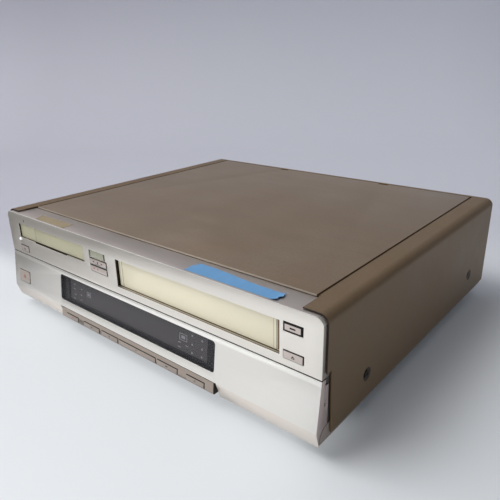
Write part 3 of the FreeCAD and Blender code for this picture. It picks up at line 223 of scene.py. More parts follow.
def fill_wear(g: Graph, start: bpy.types.Node, end: bpy.types.Node) -> None:
    """Uneven tone of a handled surface: long streaks and soft cloudy marks."""
    streaked = g.vector("MULTIPLY", start.outputs["Vector"], start.outputs["Stretch"])
    streaks = g.add("ShaderNodeTexNoise", {"Vector": streaked.outputs[0], "Scale": 38.0, "Detail": 3.0})
    clouds = g.add("ShaderNodeTexNoise", {"Vector": start.outputs["Vector"], "Scale": 9.0, "Detail": 4.0,
                                          "Roughness": 0.62})
    both = g.math("ADD", g.math("MULTIPLY", streaks.outputs["Fac"], 0.4),
                  g.math("MULTIPLY", clouds.outputs["Fac"], 0.6))
    spread = g.add("ShaderNodeMapRange", {"Value": both, "From Min": 0.36, "From Max": 0.64})
    mask = spread.outputs["Result"]
    shift = g.math("MULTIPLY", g.math("SUBTRACT", mask, 0.5), start.outputs["Amount"])
    g.tree.links.new(mask, end.inputs["Mask"])
    g.tree.links.new(g.math("ADD", shift, 1.0), end.inputs["Tone"])


def fill_box(g: Graph, start: bpy.types.Node, end: bpy.types.Node) -> None:
    """One inside a box, falling to nothing at its faces over a short way."""
    apart = g.vector("SUBTRACT", start.outputs["Vector"], start.outputs["Centre"])
    size = g.vector("ABSOLUTE", apart.outputs[0])
    over = g.vector("SUBTRACT", size.outputs[0], start.outputs["Half"])
    parts = g.add("ShaderNodeSeparateXYZ", {0: over.outputs[0]})
    most = g.math("MAXIMUM", g.math("MAXIMUM", parts.outputs[0], parts.outputs[1]), parts.outputs[2])
    deep = g.math("DIVIDE", g.math("MULTIPLY", most, -1.0), start.outputs["Soft"])
    g.tree.links.new(g.math("MINIMUM", g.math("MAXIMUM", deep, 0.0), 1.0), end.inputs["Mask"])


def fill_slope(g: Graph, start: bpy.types.Node, end: bpy.types.Node) -> None:
    """One where a point lies behind a sloping face by more than a depth."""
    apart = g.vector("SUBTRACT", start.outputs["Vector"], start.outputs["Origin"])
    along = g.vector("DOT_PRODUCT", apart.outputs[0], start.outputs["Normal"])
    depth = g.math("MULTIPLY", along.outputs["Value"], -1.0)
    g.tree.links.new(g.math("GREATER_THAN", depth, start.outputs["Depth"]), end.inputs["Mask"])


def fill_dust(g: Graph, start: bpy.types.Node, end: bpy.types.Node) -> None:
    """Dust that settles in patches on faces that look up."""
    place = g.add("ShaderNodeNewGeometry")
    up = g.add("ShaderNodeSeparateXYZ", {0: place.outputs["Normal"]}).outputs[2]
    specks = g.add("ShaderNodeTexNoise", {"Vector": start.outputs["Vector"], "Scale": 420.0, "Detail": 4.0})
    drift = g.add("ShaderNodeTexNoise", {"Vector": start.outputs["Vector"], "Scale": 14.0, "Detail": 2.0})
    both = g.math("MULTIPLY", specks.outputs["Fac"], drift.outputs["Fac"])
    settled = g.math("MULTIPLY", g.math("MULTIPLY", both, g.math("MAXIMUM", up, 0.0)), start.outputs["Amount"])
    g.tree.links.new(g.math("MINIMUM", settled, 1.0), end.inputs["Mask"])


def fill_cells(g: Graph, start: bpy.types.Node, end: bpy.types.Node) -> None:
    """Crystal cells of a zinc skin or squares of a circuit board."""
    cells = g.add("ShaderNodeTexVoronoi", {"Vector": start.outputs["Vector"], "Scale": start.outputs["Scale"]})
    grey = g.add("ShaderNodeSeparateColor", {0: cells.outputs["Color"]}).outputs[0]
    shift = g.math("MULTIPLY", g.math("SUBTRACT", grey, 0.5), start.outputs["Amount"])
    g.tree.links.new(g.math("ADD", shift, 1.0), end.inputs["Tone"])


VECTOR, FLOAT = "NodeSocketVector", "NodeSocketFloat"
ORIGIN: Point = (0.0, 0.0, 0.0)
AT = ("Vector", VECTOR, ORIGIN)
GRAIN = shader_group("surface grain", [AT, ("Scale", FLOAT, 2000.0), ("Amount", FLOAT, 0.1)],
                     [("Tone", FLOAT), ("Height", FLOAT)], fill_grain)
WEAR = shader_group("handling wear", [AT, ("Stretch", VECTOR, (1.0, 1.0, 1.0)), ("Amount", FLOAT, 0.1)],
                    [("Tone", FLOAT), ("Mask", FLOAT)], fill_wear)
BOX = shader_group("box mask", [AT, ("Centre", VECTOR, ORIGIN), ("Half", VECTOR, ORIGIN), ("Soft", FLOAT, 1e-5)],
                   [("Mask", FLOAT)], fill_box)
BEHIND = shader_group("behind slope", [AT, ("Origin", VECTOR, ORIGIN), ("Normal", VECTOR, ORIGIN),
                                       ("Depth", FLOAT, 0.0)], [("Mask", FLOAT)], fill_slope)
DUST = shader_group("settled dust", [AT, ("Amount", FLOAT, 0.3)], [("Mask", FLOAT)], fill_dust)
CELLS = shader_group("cell tone", [AT, ("Scale", FLOAT, 300.0), ("Amount", FLOAT, 0.2)],
                     [("Tone", FLOAT)], fill_cells)


@dataclass(frozen=True)
class Patch:
    """Part of a piece inside a box, in millimetres, that has another colour.

    Attributes:
        low: Lowest corner of the box.
        high: Highest corner of the box.
        tone: Screen colour inside the box.
        behind: Where given, only what lies this deep behind the sloping face.
        soft: Width of the fade inside the box's faces.
    """

    low: Point
    high: Point
    tone: Tone
    behind: float | None = None
    soft: float = 0.01

    def mask(self, g: Graph, at: bpy.types.NodeSocket) -> bpy.types.NodeSocket:
        """Add the nodes of this patch's mask.

        Args:
            g: Graph of the material.
            at: Socket with the point on the piece.

        Returns:
            Socket that is one inside the patch.
        """
        centre = tuple((a + b) / 2 * MM for a, b in zip(self.low, self.high))
        half = tuple((b - a) / 2 * MM for a, b in zip(self.low, self.high))
        inside = g.add("ShaderNodeGroup", node_tree=BOX)
        g.tree.links.new(at, inside.inputs["Vector"])
        inside.inputs["Centre"].default_value = centre
        inside.inputs["Half"].default_value = half
        inside.inputs["Soft"].default_value = self.soft * MM
        if self.behind is None:
            return inside.outputs["Mask"]
        slope = g.add("ShaderNodeGroup", node_tree=BEHIND)
        g.tree.links.new(at, slope.inputs["Vector"])
        slope.inputs["Origin"].default_value = (0.0, FACE * MM, FLAP_TOP * MM)
        slope.inputs["Normal"].default_value = SLOPE_NORMAL
        slope.inputs["Depth"].default_value = self.behind * MM
        return g.math("MULTIPLY", inside.outputs["Mask"], slope.outputs["Mask"])


@dataclass(frozen=True)
class Finish:
    """Procedural finish of one kind of surface.

    Attributes:
        name: Name of the material.
        tone: Screen colour.
        rough: Roughness.
        metal: Metallic share.
        grain: Scale of the fine grain, per metre.
        speckle: Change of tone by the grain.
        wear: Change of tone by streaks and marks.
        relief: Depth of the grain, in millimetres.
        stretch: How far the streaks are drawn out along each axis.
        dust: Amount of dust on faces that look up.
        cells: Scale and strength of cells, or nothing.
        patches: Parts with another colour.
        alpha: Opacity.
        coat: Clear coat.
        coat_rough: Roughness of the coat.
        glow: Strength of the surface's own light.
    """

    name: str
    tone: Tone
    rough: float = 0.45
    metal: float = 0.0
    grain: float = 2200.0
    speckle: float = 0.10
    wear: float = 0.08
    relief: float = 0.012
    stretch: Point = (1.0, 1.0, 1.0)
    dust: float = 0.0
    cells: Flat | None = None
    patches: tuple[Patch, ...] = ()
    alpha: float = 1.0
    coat: float = 0.0
    coat_rough: float = 0.22
    glow: float = 0.0

    def material(self) -> bpy.types.Material:
        """Return this finish as a material, built once."""
        made = bpy.data.materials.get(self.name)
        return made if made else self.build()

    def build(self) -> bpy.types.Material:
        """Build the material's nodes.

        Returns:
            The material.
        """
        material = bpy.data.materials.new(self.name)
        material.use_nodes = True
        material.node_tree.nodes.clear()
        g = Graph(material.node_tree)
        at = g.add("ShaderNodeTexCoord").outputs["Object"]
        grain = g.add("ShaderNodeGroup", {"Vector": at, "Scale": self.grain, "Amount": self.speckle},
                      node_tree=GRAIN)
        wear = g.add("ShaderNodeGroup", {"Vector": at, "Stretch": self.stretch, "Amount": self.wear},
                     node_tree=WEAR)
        tone = g.math("MULTIPLY", grain.outputs["Tone"], wear.outputs["Tone"])
        if self.cells:
            cell = g.add("ShaderNodeGroup", {"Vector": at, "Scale": self.cells[0], "Amount": self.cells[1]},
                         node_tree=CELLS)
            tone = g.math("MULTIPLY", tone, cell.outputs["Tone"])
        colour: object = linear(self.tone)
        for patch in self.patches:
            colour = g.mix(patch.mask(g, at), colour, linear(patch.tone))
        colour = g.mix(1.0, colour, g.add("ShaderNodeCombineColor", {0: tone, 1: tone, 2: tone}).outputs[0],
                       "MULTIPLY")
        if self.dust:
            dust = g.add("ShaderNodeGroup", {"Vector": at, "Amount": self.dust}, node_tree=DUST)
            colour = g.mix(dust.outputs["Mask"], colour, linear((196, 190, 180)))
        rough = g.math("ADD", g.math("MULTIPLY", wear.outputs["Mask"], 0.10), self.rough - 0.05)
        bump = g.add("ShaderNodeBump", {"Height": grain.outputs["Height"], "Strength": 1.0,
                                        "Distance": self.relief * MM})
        shader = g.add("ShaderNodeBsdfPrincipled", {"Base Color": colour, "Roughness": rough,
                                                    "Normal": bump.outputs["Normal"]})
        shader.inputs["Metallic"].default_value = self.metal
        shader.inputs["Alpha"].default_value = self.alpha
        shader.inputs["Coat Weight"].default_value = self.coat
        shader.inputs["Coat Roughness"].default_value = self.coat_rough
        if self.glow:
            shader.inputs["Emission Color"].default_value = linear(self.tone)
            shader.inputs["Emission Strength"].default_value = self.glow
        out = g.add("ShaderNodeOutputMaterial")
        g.tree.links.new(shader.outputs["BSDF"], out.inputs["Surface"])
        return material


# Painted shade: dark tone laid on walls inside openings, on the sides of buttons and keys, at the key strip's ends and
# on the flap's top face.
DARK: Tone = (40, 33, 29)
SIDE_SCREWS = ((FACE + 64.9, 39.2), (high("top_cover").y - 55.5, 41.7))
CORNER = 7.0
# Painted shade on the walls inside the fascia's openings and behind its face; its rounded corners are left out.
INNER_WALLS = (Patch((-PANEL_HALF + CORNER, FACE + 0.45, SPLIT + 0.5),
                     (PANEL_HALF - CORNER, FACE + BIG, PANEL_TOP - 0.6), DARK),
               Patch((-PANEL_HALF + 0.6, FACE + 0.45, SPLIT + 0.5),
                     (PANEL_HALF - 0.6, FACE + BIG, PANEL_TOP - CORNER), DARK))
# Painted shade: the fascia's top face is painted a darker grey than its front.
HOOD = Patch((-BIG, FACE + 0.75, PANEL_TOP - 0.5), (BIG, FACE + BIG, BIG), (198, 191, 187))
# Painted highlight: a near-white line along the fascia's top front edge.
HOOD_EDGE = Patch((-PANEL_HALF + CORNER, FACE + 0.15, PANEL_TOP - 0.85), (PANEL_HALF - CORNER, FACE + 0.75, BIG),
                  (255, 254, 250))
# Painted shade on the flap's top face, in the gap under the fascia.
FLAP_ROOF = Patch((-BIG, FACE + 0.2, FLAP_TOP - 0.45), (BIG, FACE + BIG, BIG), DARK)
# Painted shade: a warmer, darker tone on the flap's lower chamfer, below 25.4 mm, where its face turns down.
FLAP_FOOT = Patch((-BIG, -BIG, -BIG), (BIG, BIG, 25.4), (229, 222, 214), soft=0.4)
# Painted highlight: a near-white band along the flap's top, fading out over 1.6 mm at its lower edge.
FLAP_BAND = Patch((-PANEL_HALF - BIG, -BIG, FLAP_TOP - 5.0), (PANEL_HALF + BIG, FACE + BIG, FLAP_TOP + BIG),
                  (255, 253, 248), soft=1.6)


def cheeks(tone: Tone) -> tuple[Patch, Patch]:
    """Painted shade: both end faces of the fascia and of the flap in a duller tone."""
    reach = PANEL_HALF - 0.25
    return (Patch((reach, -BIG, 0.0), (BIG, BIG, BIG), tone), Patch((-BIG, -BIG, 0.0), (-reach, BIG, BIG), tone))


def screw_cups() -> tuple[Patch, ...]:
    """Painted shade in the cups round the cover's side screws."""
    skin = high("top_cover").x - 0.07
    cups = []
    for y, z in SIDE_SCREWS:
        for side in (-1, 1):
            ends = sorted((side * (skin - 1.4), side * skin))
            cups.append(Patch((ends[0], y - 6.6, z - 6.6), (ends[1], y + 6.6, z + 6.6), (66, 52, 40)))
    return tuple(cups)


def behind_slope(depth: float, floor: float, tone: Tone = DARK) -> Patch:
    """Painted shade on the walls behind the sloping face.

    Args:
        depth: How deep the dark begins, in millimetres.
        floor: Lowest height that it reaches.
        tone: Its colour.

    Returns:
        The patch.
    """
    return Patch((-PANEL_HALF + 3.0, FACE - BIG, floor), (PANEL_HALF - 3.0, FACE + BIG, FLAP_TOP - 0.5), tone, depth)


def ledge(node: str) -> tuple[Patch, ...]:
    """Painted shade on the ledge in front of a door: dark at its front edge and at the door's foot, a shaded lighter
    tone between.

    Args:
        node: The door's node.

    Returns:
        The strips, from front to back.
    """
    left, right, base = low(node).x - 0.6, high(node).x + 0.6, low(node).z
    door_face = low(node).y
    strips = ((FACE + 0.4, FACE + 1.3, (84, 76, 68)), (FACE + 1.3, door_face - 0.8, (186, 178, 166)),
              (door_face - 0.8, door_face + 1.0, (92, 82, 70)))
    return tuple(Patch((left, near, base - 1.2), (right, far, base + 0.2), tone) for near, far, tone in strips)


def door_band(left: float, right: float, tone: Tone) -> Patch:
    """Upright band on the outer face of the large door.

    Args:
        left: Its left edge, in millimetres from the middle.
        right: Its right edge.
        tone: Its colour.

    Returns:
        The patch.
    """
    a, b = low("vhs_door"), high("vhs_door")
    return Patch((left, FACE, a.z + 0.6), (right, a.y + 0.3, b.z - 0.6), tone)


class Paint(Enum):
    """Finishes of this deck."""

    # Painted shade: the cover's front edge beside the fascia is painted dark; the dust is real.
    CASING = Finish("casing paint", (112, 90, 62), 0.45, 0.25, 2600, 0.16, 0.16, stretch=(0.35, 2.2, 1.0), dust=0.2,
                    patches=(Patch((-BIG, -BIG, 0.0), (BIG, low("top_cover").y + 0.3, BIG), (50, 40, 33)),)
                    + screw_cups())
    # Painted highlight: the top plate's front edge is painted a lighter tone; the dust is real.
    PLATE = Finish("plate paint", (117, 97, 75), 0.42, 0.20, 2600, 0.16, 0.18, stretch=(0.3, 2.4, 1.0), dust=0.3,
                   coat=0.5, coat_rough=0.42,
                   patches=(Patch((-BIG, FACE, 0.0), (BIG, low("top_plate").y + 0.3, BIG), (170, 158, 144)),))
    REAR = Finish("rear paint", (96, 88, 78), 0.5, 0.2, 1800, 0.12, 0.10)
    ZINC = Finish("zinc steel", (168, 170, 172), 0.38, 0.9, 900, 0.10, 0.14, cells=(180.0, 0.22))
    RUBBER = Finish("foot rubber", (30, 30, 32), 0.78, 0.0, 1400, 0.2, 0.1, relief=0.04)
    # The fascia's patches paint shade on its inner walls, ledges and end faces, a darker tone on its top face and a
    # highlight along its top front edge.
    FASCIA = Finish("fascia paint", (230, 226, 219), 0.42, 0.85, 3000, 0.10, 0.05, stretch=(0.2, 1.0, 3.0),
                    patches=INNER_WALLS + ledge("vhs_door") + ledge("dv_door") + cheeks((158, 150, 142)) + (HOOD, HOOD_EDGE))
    # The flap's patches paint a highlight band along its top and shade on its lower chamfer, on the walls behind its
    # sloping face, on its top face and on its end faces.
    FLAP = Finish("flap paint", (233, 231, 226), 0.42, 0.85, 3000, 0.10, 0.05, stretch=(0.2, 1.0, 3.0),
                  patches=(FLAP_BAND, FLAP_FOOT, behind_slope(0.5, 31.0), FLAP_ROOF) + cheeks((196, 182, 178)))
    # Painted shade at both ends of the key strip and on the walls of its key openings.
    STRIP = Finish("key strip plastic", (153, 141, 131), 0.42, 0.15, 2600, 0.10, 0.08,
                   patches=(Patch((high("button_strip").x - 0.12, -BIG, 0.0), (BIG, BIG, BIG), DARK),
                            Patch((-BIG, -BIG, 0.0), (low("button_strip").x + 0.12, BIG, BIG), DARK),
                            Patch((low("button_strip").x + 1.5, FACE - BIG, 10.0),
                                  (high("button_strip").x - 1.5, FACE + BIG, 40.0), DARK, 0.3),))
    # Painted shade on the sides of the keys and the power button, below their faces.
    KEY = Finish("key plastic", (151, 140, 132), 0.40, 0.15, 2600, 0.10, 0.06, patches=(behind_slope(-0.12, 0.0),))
    POWER = Finish("power button plastic", (180, 168, 160), 0.40, 0.2, 2600, 0.10, 0.06,
                   patches=(behind_slope(-0.15, 0.0),))
    # Painted shade on the sides of the buttons, behind their faces.
    BUTTON = Finish("button plastic", (194, 183, 177), 0.40, 0.45, 2600, 0.10, 0.06,
                    patches=(Patch((-BIG, FACE - 0.12, 0.0), (BIG, FACE + BIG, BIG), DARK),))
    # Painted shade on the large door: a dark brown band at its right end where it sits back in its opening, and a
    # darker tone on its parts more than 3.8 mm behind the fascia's face; the band from 168.8 to 169.3 mm is a thin,
    # slightly darker upright line.
    CREAM = Finish("large door plastic", (228, 221, 196), 0.42, 0.0, 2400, 0.05, 0.05,
                   patches=(door_band(172.4, BIG, (104, 84, 62)), door_band(168.8, 169.3, (176, 168, 146)),
                            Patch((-BIG, FACE + 3.8, 0.0), (BIG, FACE + BIG, BIG), (120, 112, 92)),))
    # Painted shade on the small door's parts more than 2 mm behind the fascia's face.
    OLIVE = Finish("small door plastic", (184, 180, 153), 0.40, 0.0, 2400, 0.05, 0.05,
                   patches=(Patch((-BIG, FACE + 2.0, 0.0), (BIG, FACE + BIG, BIG), (110, 106, 84)),))
    LENS = Finish("lamp lens", (150, 151, 132), 0.22, 0.0, 2400, 0.05, 0.05, coat=0.6,
                  patches=(Patch((low("dub_lamp").x, -BIG, 0.0), (low("dub_lamp").x + 2.6, BIG, BIG), (74, 68, 60)),
                           Patch((high("dub_lamp").x - 2.6, -BIG, 0.0), (high("dub_lamp").x, BIG, BIG), (74, 68, 60))))
    # The glow is a painted highlight: it stands in for light that the small lens reflects.
    LAMP = Finish("round lamp", (250, 250, 252), 0.2, 0.0, coat=0.8, glow=0.25)
    PANE = Finish("smoked pane", (22, 22, 32), 0.08, 0.0, 1200, 0.02, 0.02, relief=0.001, alpha=0.3, coat=0.3)
    MASK = Finish("pane mask", (10, 11, 19), 0.35, 0.0, 2400, 0.1, 0.05)
    SCREEN = Finish("display sheet", (124, 118, 120), 0.5, 0.0, 2400, 0.06, 0.06)
    GLASS = Finish("display glass", (30, 34, 40), 0.1, 0.0, 1200, 0.04, 0.04, relief=0.001, coat=0.8)
    BOARD = Finish("circuit board", (46, 92, 58), 0.42, 0.0, 1500, 0.12, 0.1, cells=(260.0, 0.25), coat=0.3)
    DARKS = Finish("dark plastic", (38, 38, 40), 0.48, 0.0, 1800, 0.16, 0.08, relief=0.02)
    INNER = Finish("inner panel plastic", (70, 66, 64), 0.5, 0.1, 2200, 0.12, 0.06)
    BLOCKS = Finish("corner block plastic", (158, 146, 138), 0.42, 0.25, 2600, 0.10, 0.06)
    DIAL = Finish("dial plastic", (196, 190, 182), 0.3, 0.5, 2600, 0.1, 0.05)
    REEL = Finish("reel plastic", (222, 220, 212), 0.4, 0.0, 1800, 0.06, 0.05)
    CORE = Finish("laminated core", (82, 82, 86), 0.45, 0.8, 900, 0.2, 0.1, stretch=(1.0, 6.0, 1.0))
    BRIGHT = Finish("bright steel", (196, 196, 198), 0.22, 1.0, 1800, 0.08, 0.06)
    NICKEL = Finish("nickel plate", (188, 184, 172), 0.2, 1.0, 1800, 0.06, 0.05)
    CAST = Finish("cast alloy", (160, 160, 160), 0.52, 0.8, 900, 0.2, 0.1, relief=0.05)
    TURNED = Finish("turned alloy", (204, 204, 206), 0.18, 1.0, 1600, 0.08, 0.04, stretch=(1.0, 1.0, 12.0))
    SCREW = Finish("black screw", (34, 30, 28), 0.38, 0.6, 1800, 0.12, 0.1)
    INK = Finish("dark ink", (58, 50, 46), 0.6, 0.0)
    GAP = Finish("gap shade", (20, 16, 14), 0.8, 0.0)
    RED_INK = Finish("red ink", (168, 104, 88), 0.6, 0.0)
    PALE_INK = Finish("pale ink", (226, 223, 230), 0.6, 0.0)
    TAPE = Finish("blue tape", (102, 156, 203), 0.55, 0.0, 900, 0.10, 0.16, relief=0.05, stretch=(6.0, 1.0, 1.0))
    STICKER = Finish("old sticker", (144, 130, 104), 0.6, 0.0, 500, 0.3, 0.35, relief=0.03)

    def material(self) -> bpy.types.Material:
        """Return the finish's material."""
        return self.value.material()


def set_finish(piece: bpy.types.Object, paint: Paint) -> None:
    """Give a piece one material."""
    piece.data.materials.clear()
    piece.data.materials.append(paint.material())


def add_piece(name: str, mesh: bpy.types.Mesh, paint: Paint, body: str, slot: str) -> bpy.types.Object:
    """Make an object of a finished mesh and let it ride on a body.

    Args:
        name: Name of the piece.
        mesh: Its mesh, with its place in it.
        paint: Its finish.
        body: CAD body that it rides on.
        slot: Not used.

    Returns:
        The object.
    """
    piece = bpy.data.objects.new(name, mesh)
    bpy.context.scene.collection.objects.link(piece)
    set_finish(piece, paint)
    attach(piece, body)
    LOG.info("piece %s rides on %s", name, body)
    return piece


def keep(node: str, paint: Paint) -> None:
    """Give a CAD node that stays a better material."""
    set_finish(frame["nodes"][node], paint)
    LOG.info("node %s in %s", node, paint.value.name)


def shade(mesh: bpy.types.Mesh, angle: float = 24.0) -> None:
    """Shade a mesh smooth apart from edges sharper than an angle in degrees."""
    extra = mesh.attributes.get("custom_normal")
    if extra:
        mesh.attributes.remove(extra)
    mesh.shade_smooth()
    mesh.set_sharp_from_angle(angle=math.radians(angle))


def soften(node: str, paint: Paint, slot: str, width: float = 0.3, limit: float = 26.0) -> bpy.types.Object:
    """Stand in for a CAD node with the same shape and slightly rounded edges.

    Args:
        node: The CAD node.
        paint: Its finish.
        slot: Material slot of the record.
        width: Width of the rounding, in millimetres.
        limit: Edges sharper than this many degrees are rounded.

    Returns:
        The piece.
    """
    form = bmesh.new()
    form.from_mesh(frame["nodes"][node].data)
    bmesh.ops.remove_doubles(form, verts=form.verts, dist=2e-6)
    bmesh.ops.dissolve_limit(form, angle_limit=math.radians(0.6), verts=form.verts, edges=form.edges)
    sharp = [e for e in form.edges
             if len(e.link_faces) == 2 and e.calc_face_angle(0.0) > math.radians(limit)]
    bmesh.ops.bevel(form, geom=sharp, offset=width * MM, segments=2, profile=0.5, affect="EDGES",
                    clamp_overlap=False, offset_type="OFFSET")
    bmesh.ops.triangulate(form, faces=[f for f in form.faces if len(f.verts) > 4])
    mesh = bpy.data.meshes.new(node + "_form")
    form.to_mesh(mesh)
    form.free()
    shade(mesh)
    body = frame["nodes"][node]["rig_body"]
    piece = add_piece(node + "_soft", mesh, paint, body, slot)
    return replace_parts(piece, node)


@dataclass(frozen=True)
class Surface:
    """A flat face to lay thin pieces on, in millimetres.

    Attributes:
        origin: Point that flat coordinates start from.
        across: Unit vector of the first flat coordinate.
        along: Unit vector of the second flat coordinate.
    """

    origin: Vector
    across: Vector
    along: Vector

    def point(self, u: float, v: float, lift: float) -> Vector:
        """Return the point at flat coordinates, lifted off the face, in metres."""
        normal = self.across.cross(self.along)
        return (self.origin + self.across * u + self.along * v + normal * lift) * MM


FRONT = Surface(Vector((0, FACE, 0)), Vector((1, 0, 0)), Vector((0, 0, 1)))
SLANT = Surface(Vector((0, FACE, FLAP_TOP)), Vector((1, 0, 0)), Vector((0, math.sin(SLOPE), math.cos(SLOPE))))
ROOF = Surface(Vector((0, FACE, PANEL_TOP)), Vector((1, 0, 0)), Vector((0, 1, 0)))


def slant_v(z: float) -> float:
    """Second flat coordinate on the sloping face of a height above the floor."""
    return (z - FLAP_TOP) / math.cos(SLOPE)


def rect(u: float, v: float, width: float, tall: float) -> list[Flat]:
    """Corners of a rectangle round a point."""
    a, b = width / 2, tall / 2
    return [(u - a, v - b), (u + a, v - b), (u + a, v + b), (u - a, v + b)]


def triangle(u: float, v: float, size: float, way: int) -> list[Flat]:
    """Corners of a triangle that points right for way 1 and left for way -1."""
    points = [(u - size / 2 * way, v - size / 2), (u + size / 2 * way, v), (u - size / 2 * way, v + size / 2)]
    return points if way > 0 else points[::-1]


def disc(u: float, v: float, radius: float, count: int = 20) -> list[Flat]:
    """Corners of a disc."""
    turns = [2 * math.pi * k / count for k in range(count)]
    return [(u + radius * math.cos(t), v + radius * math.sin(t)) for t in turns]


def arc_band(u: float, v: float, radius: float, wide: float, opening: float) -> list[Flat]:
    """Outline of a ring that is open at its top by an angle in degrees."""
    start = math.radians(90 + opening / 2)
    sweep = math.radians(360 - opening)
    turns = [start + sweep * k / 24 for k in range(25)]
    outer = [(u + radius * math.cos(t), v + radius * math.sin(t)) for t in turns]
    inner = [(u + (radius - wide) * math.cos(t), v + (radius - wide) * math.sin(t)) for t in reversed(turns)]
    return outer + inner


def rounded(u0: float, u1: float, v0: float, v1: float, radius: float, steps: int = 5) -> list[Flat]:
    """Corners of a rectangle with rounded corners."""
    points = []
    for cu, cv, first in ((u1 - radius, v0 + radius, -90), (u1 - radius, v1 - radius, 0),
                          (u0 + radius, v1 - radius, 90), (u0 + radius, v0 + radius, 180)):
        for k in range(steps + 1):
            t = math.radians(first + 90 * k / steps)
            points.append((cu + radius * math.cos(t), cv + radius * math.sin(t)))
    return points


def plates(name: str, surface: Surface, outlines: Iterable[Sequence[Flat]], thick: float, lift: float = 0.0
           ) -> bpy.types.Mesh:
    """Thin closed plates on a face.

    Args:
        name: Name of the mesh.
        surface: Face that they lie on.
        outlines: Outline of each plate, turning left.
        thick: Their thickness, in millimetres.
        lift: Height of their underside over the face.

    Returns:
        The mesh.
    """
    form = bmesh.new()
    for outline in outlines:
        under = [form.verts.new(surface.point(u, v, lift)) for u, v in outline]
        over = [form.verts.new(surface.point(u, v, lift + thick)) for u, v in outline]
        form.faces.new(over)
        form.faces.new(under[::-1])
        count = len(outline)
        for k in range(count):
            n = (k + 1) % count
            form.faces.new((under[k], under[n], over[n], over[k]))
    bmesh.ops.triangulate(form, faces=[f for f in form.faces if len(f.verts) > 4])
    mesh = bpy.data.meshes.new(name)
    form.to_mesh(mesh)
    form.free()
    return mesh


def rim(name: str, surface: Surface, outer: Sequence[Flat], inner: Sequence[Flat], lift: float, thick: float
        ) -> bpy.types.Mesh:
    """Closed flat frame between two outlines of equal count.

    Args:
        name: Name of the mesh.
        surface: Face that it lies on.
        outer: Outer outline, turning left.
        inner: Inner outline, turning left.
        lift: Height of its underside over the face.
        thick: Its thickness.

    Returns:
        The mesh.
    """
    form = bmesh.new()
    rings = []
    for outline in (outer, inner):
        for height in (lift, lift + thick):
            rings.append([form.verts.new(surface.point(u, v, height)) for u, v in outline])
    outer_low, outer_top, inner_low, inner_top = rings
    count = len(outer)
    for k in range(count):
        n = (k + 1) % count
        form.faces.new((outer_top[k], outer_top[n], inner_top[n], inner_top[k]))
        form.faces.new((outer_low[n], outer_low[k], inner_low[k], inner_low[n]))
        form.faces.new((outer_low[k], outer_low[n], outer_top[n], outer_top[k]))
        form.faces.new((inner_low[n], inner_low[k], inner_top[k], inner_top[n]))
    mesh = bpy.data.meshes.new(name)
    form.to_mesh(mesh)
    form.free()
    return mesh


def sheet_mesh(name: str, surface: Surface, rows: Sequence[Sequence[Point]], thick: float) -> bpy.types.Mesh:
    """Closed thin sheet over a grid of (u, v, lift) points.

    Args:
        name: Name of the mesh.
        surface: Face that it lies on.
        rows: Rows of points, each row turning left of the one before.
        thick: Its thickness.

    Returns:
        The mesh.
    """
    form = bmesh.new()
    over = [[form.verts.new(surface.point(u, v, lift + thick)) for u, v, lift in row] for row in rows]
    under = [[form.verts.new(surface.point(u, v, lift)) for u, v, lift in row] for row in rows]
    last_row, last = len(rows) - 1, len(rows[0]) - 1
    for r in range(last_row):
        for c in range(last):
            form.faces.new((over[r][c], over[r][c + 1], over[r + 1][c + 1], over[r + 1][c]))
            form.faces.new((under[r][c], under[r + 1][c], under[r + 1][c + 1], under[r][c + 1]))
    for c in range(last):
        form.faces.new((under[0][c], under[0][c + 1], over[0][c + 1], over[0][c]))
        form.faces.new((under[last_row][c + 1], under[last_row][c], over[last_row][c], over[last_row][c + 1]))
    for r in range(last_row):
        form.faces.new((under[r + 1][0], under[r][0], over[r][0], over[r + 1][0]))
        form.faces.new((under[r][last], under[r + 1][last], over[r + 1][last], over[r][last]))
    mesh = bpy.data.meshes.new(name)
    form.to_mesh(mesh)
    form.free()
    shade(mesh, 40.0)
    return mesh


TreeFill = Callable[[Graph, bpy.types.Node], bpy.types.NodeSocket]


def growth_tree(name: str, inputs: Iterable[tuple], fill: TreeFill) -> bpy.types.NodeTree:
    """Build a Geometry Nodes tree that repeats the form it is given.

    Args:
        name: Name of the tree.
        inputs: Name, socket type and default value of each input.
        fill: Function that adds the nodes and returns the instances.

    Returns:
        The tree.
    """
    tree = bpy.data.node_groups.new(name, "GeometryNodeTree")
    tree.interface.new_socket("Form", in_out="INPUT", socket_type="NodeSocketGeometry")
    for label, kind, default in inputs:
        tree.interface.new_socket(label, in_out="INPUT", socket_type=kind).default_value = default
    tree.interface.new_socket("Finish", in_out="INPUT", socket_type="NodeSocketMaterial")
    tree.interface.new_socket("Form", in_out="OUTPUT", socket_type="NodeSocketGeometry")
    g = Graph(tree)
    start = g.add("NodeGroupInput")
    real = g.add("GeometryNodeRealizeInstances", {0: fill(g, start)})
    dressed = g.add("GeometryNodeSetMaterial", {"Geometry": real.outputs[0], "Material": start.outputs["Finish"]})
    end = g.add("NodeGroupOutput")
    tree.links.new(dressed.outputs[0], end.inputs[0])
    return tree


def fill_rows(g: Graph, start: bpy.types.Node) -> bpy.types.NodeSocket:
    """Rows and columns of the form."""
    made = start.outputs["Form"]
    for count, step in (("Count", "Step"), ("Rows", "Row Step")):
        line = g.add("GeometryNodeMeshLine", {"Count": start.outputs[count], "Offset": start.outputs[step]})
        spread = g.add("GeometryNodeInstanceOnPoints", {"Points": line.outputs[0], "Instance": made})
        made = spread.outputs[0]
    return made


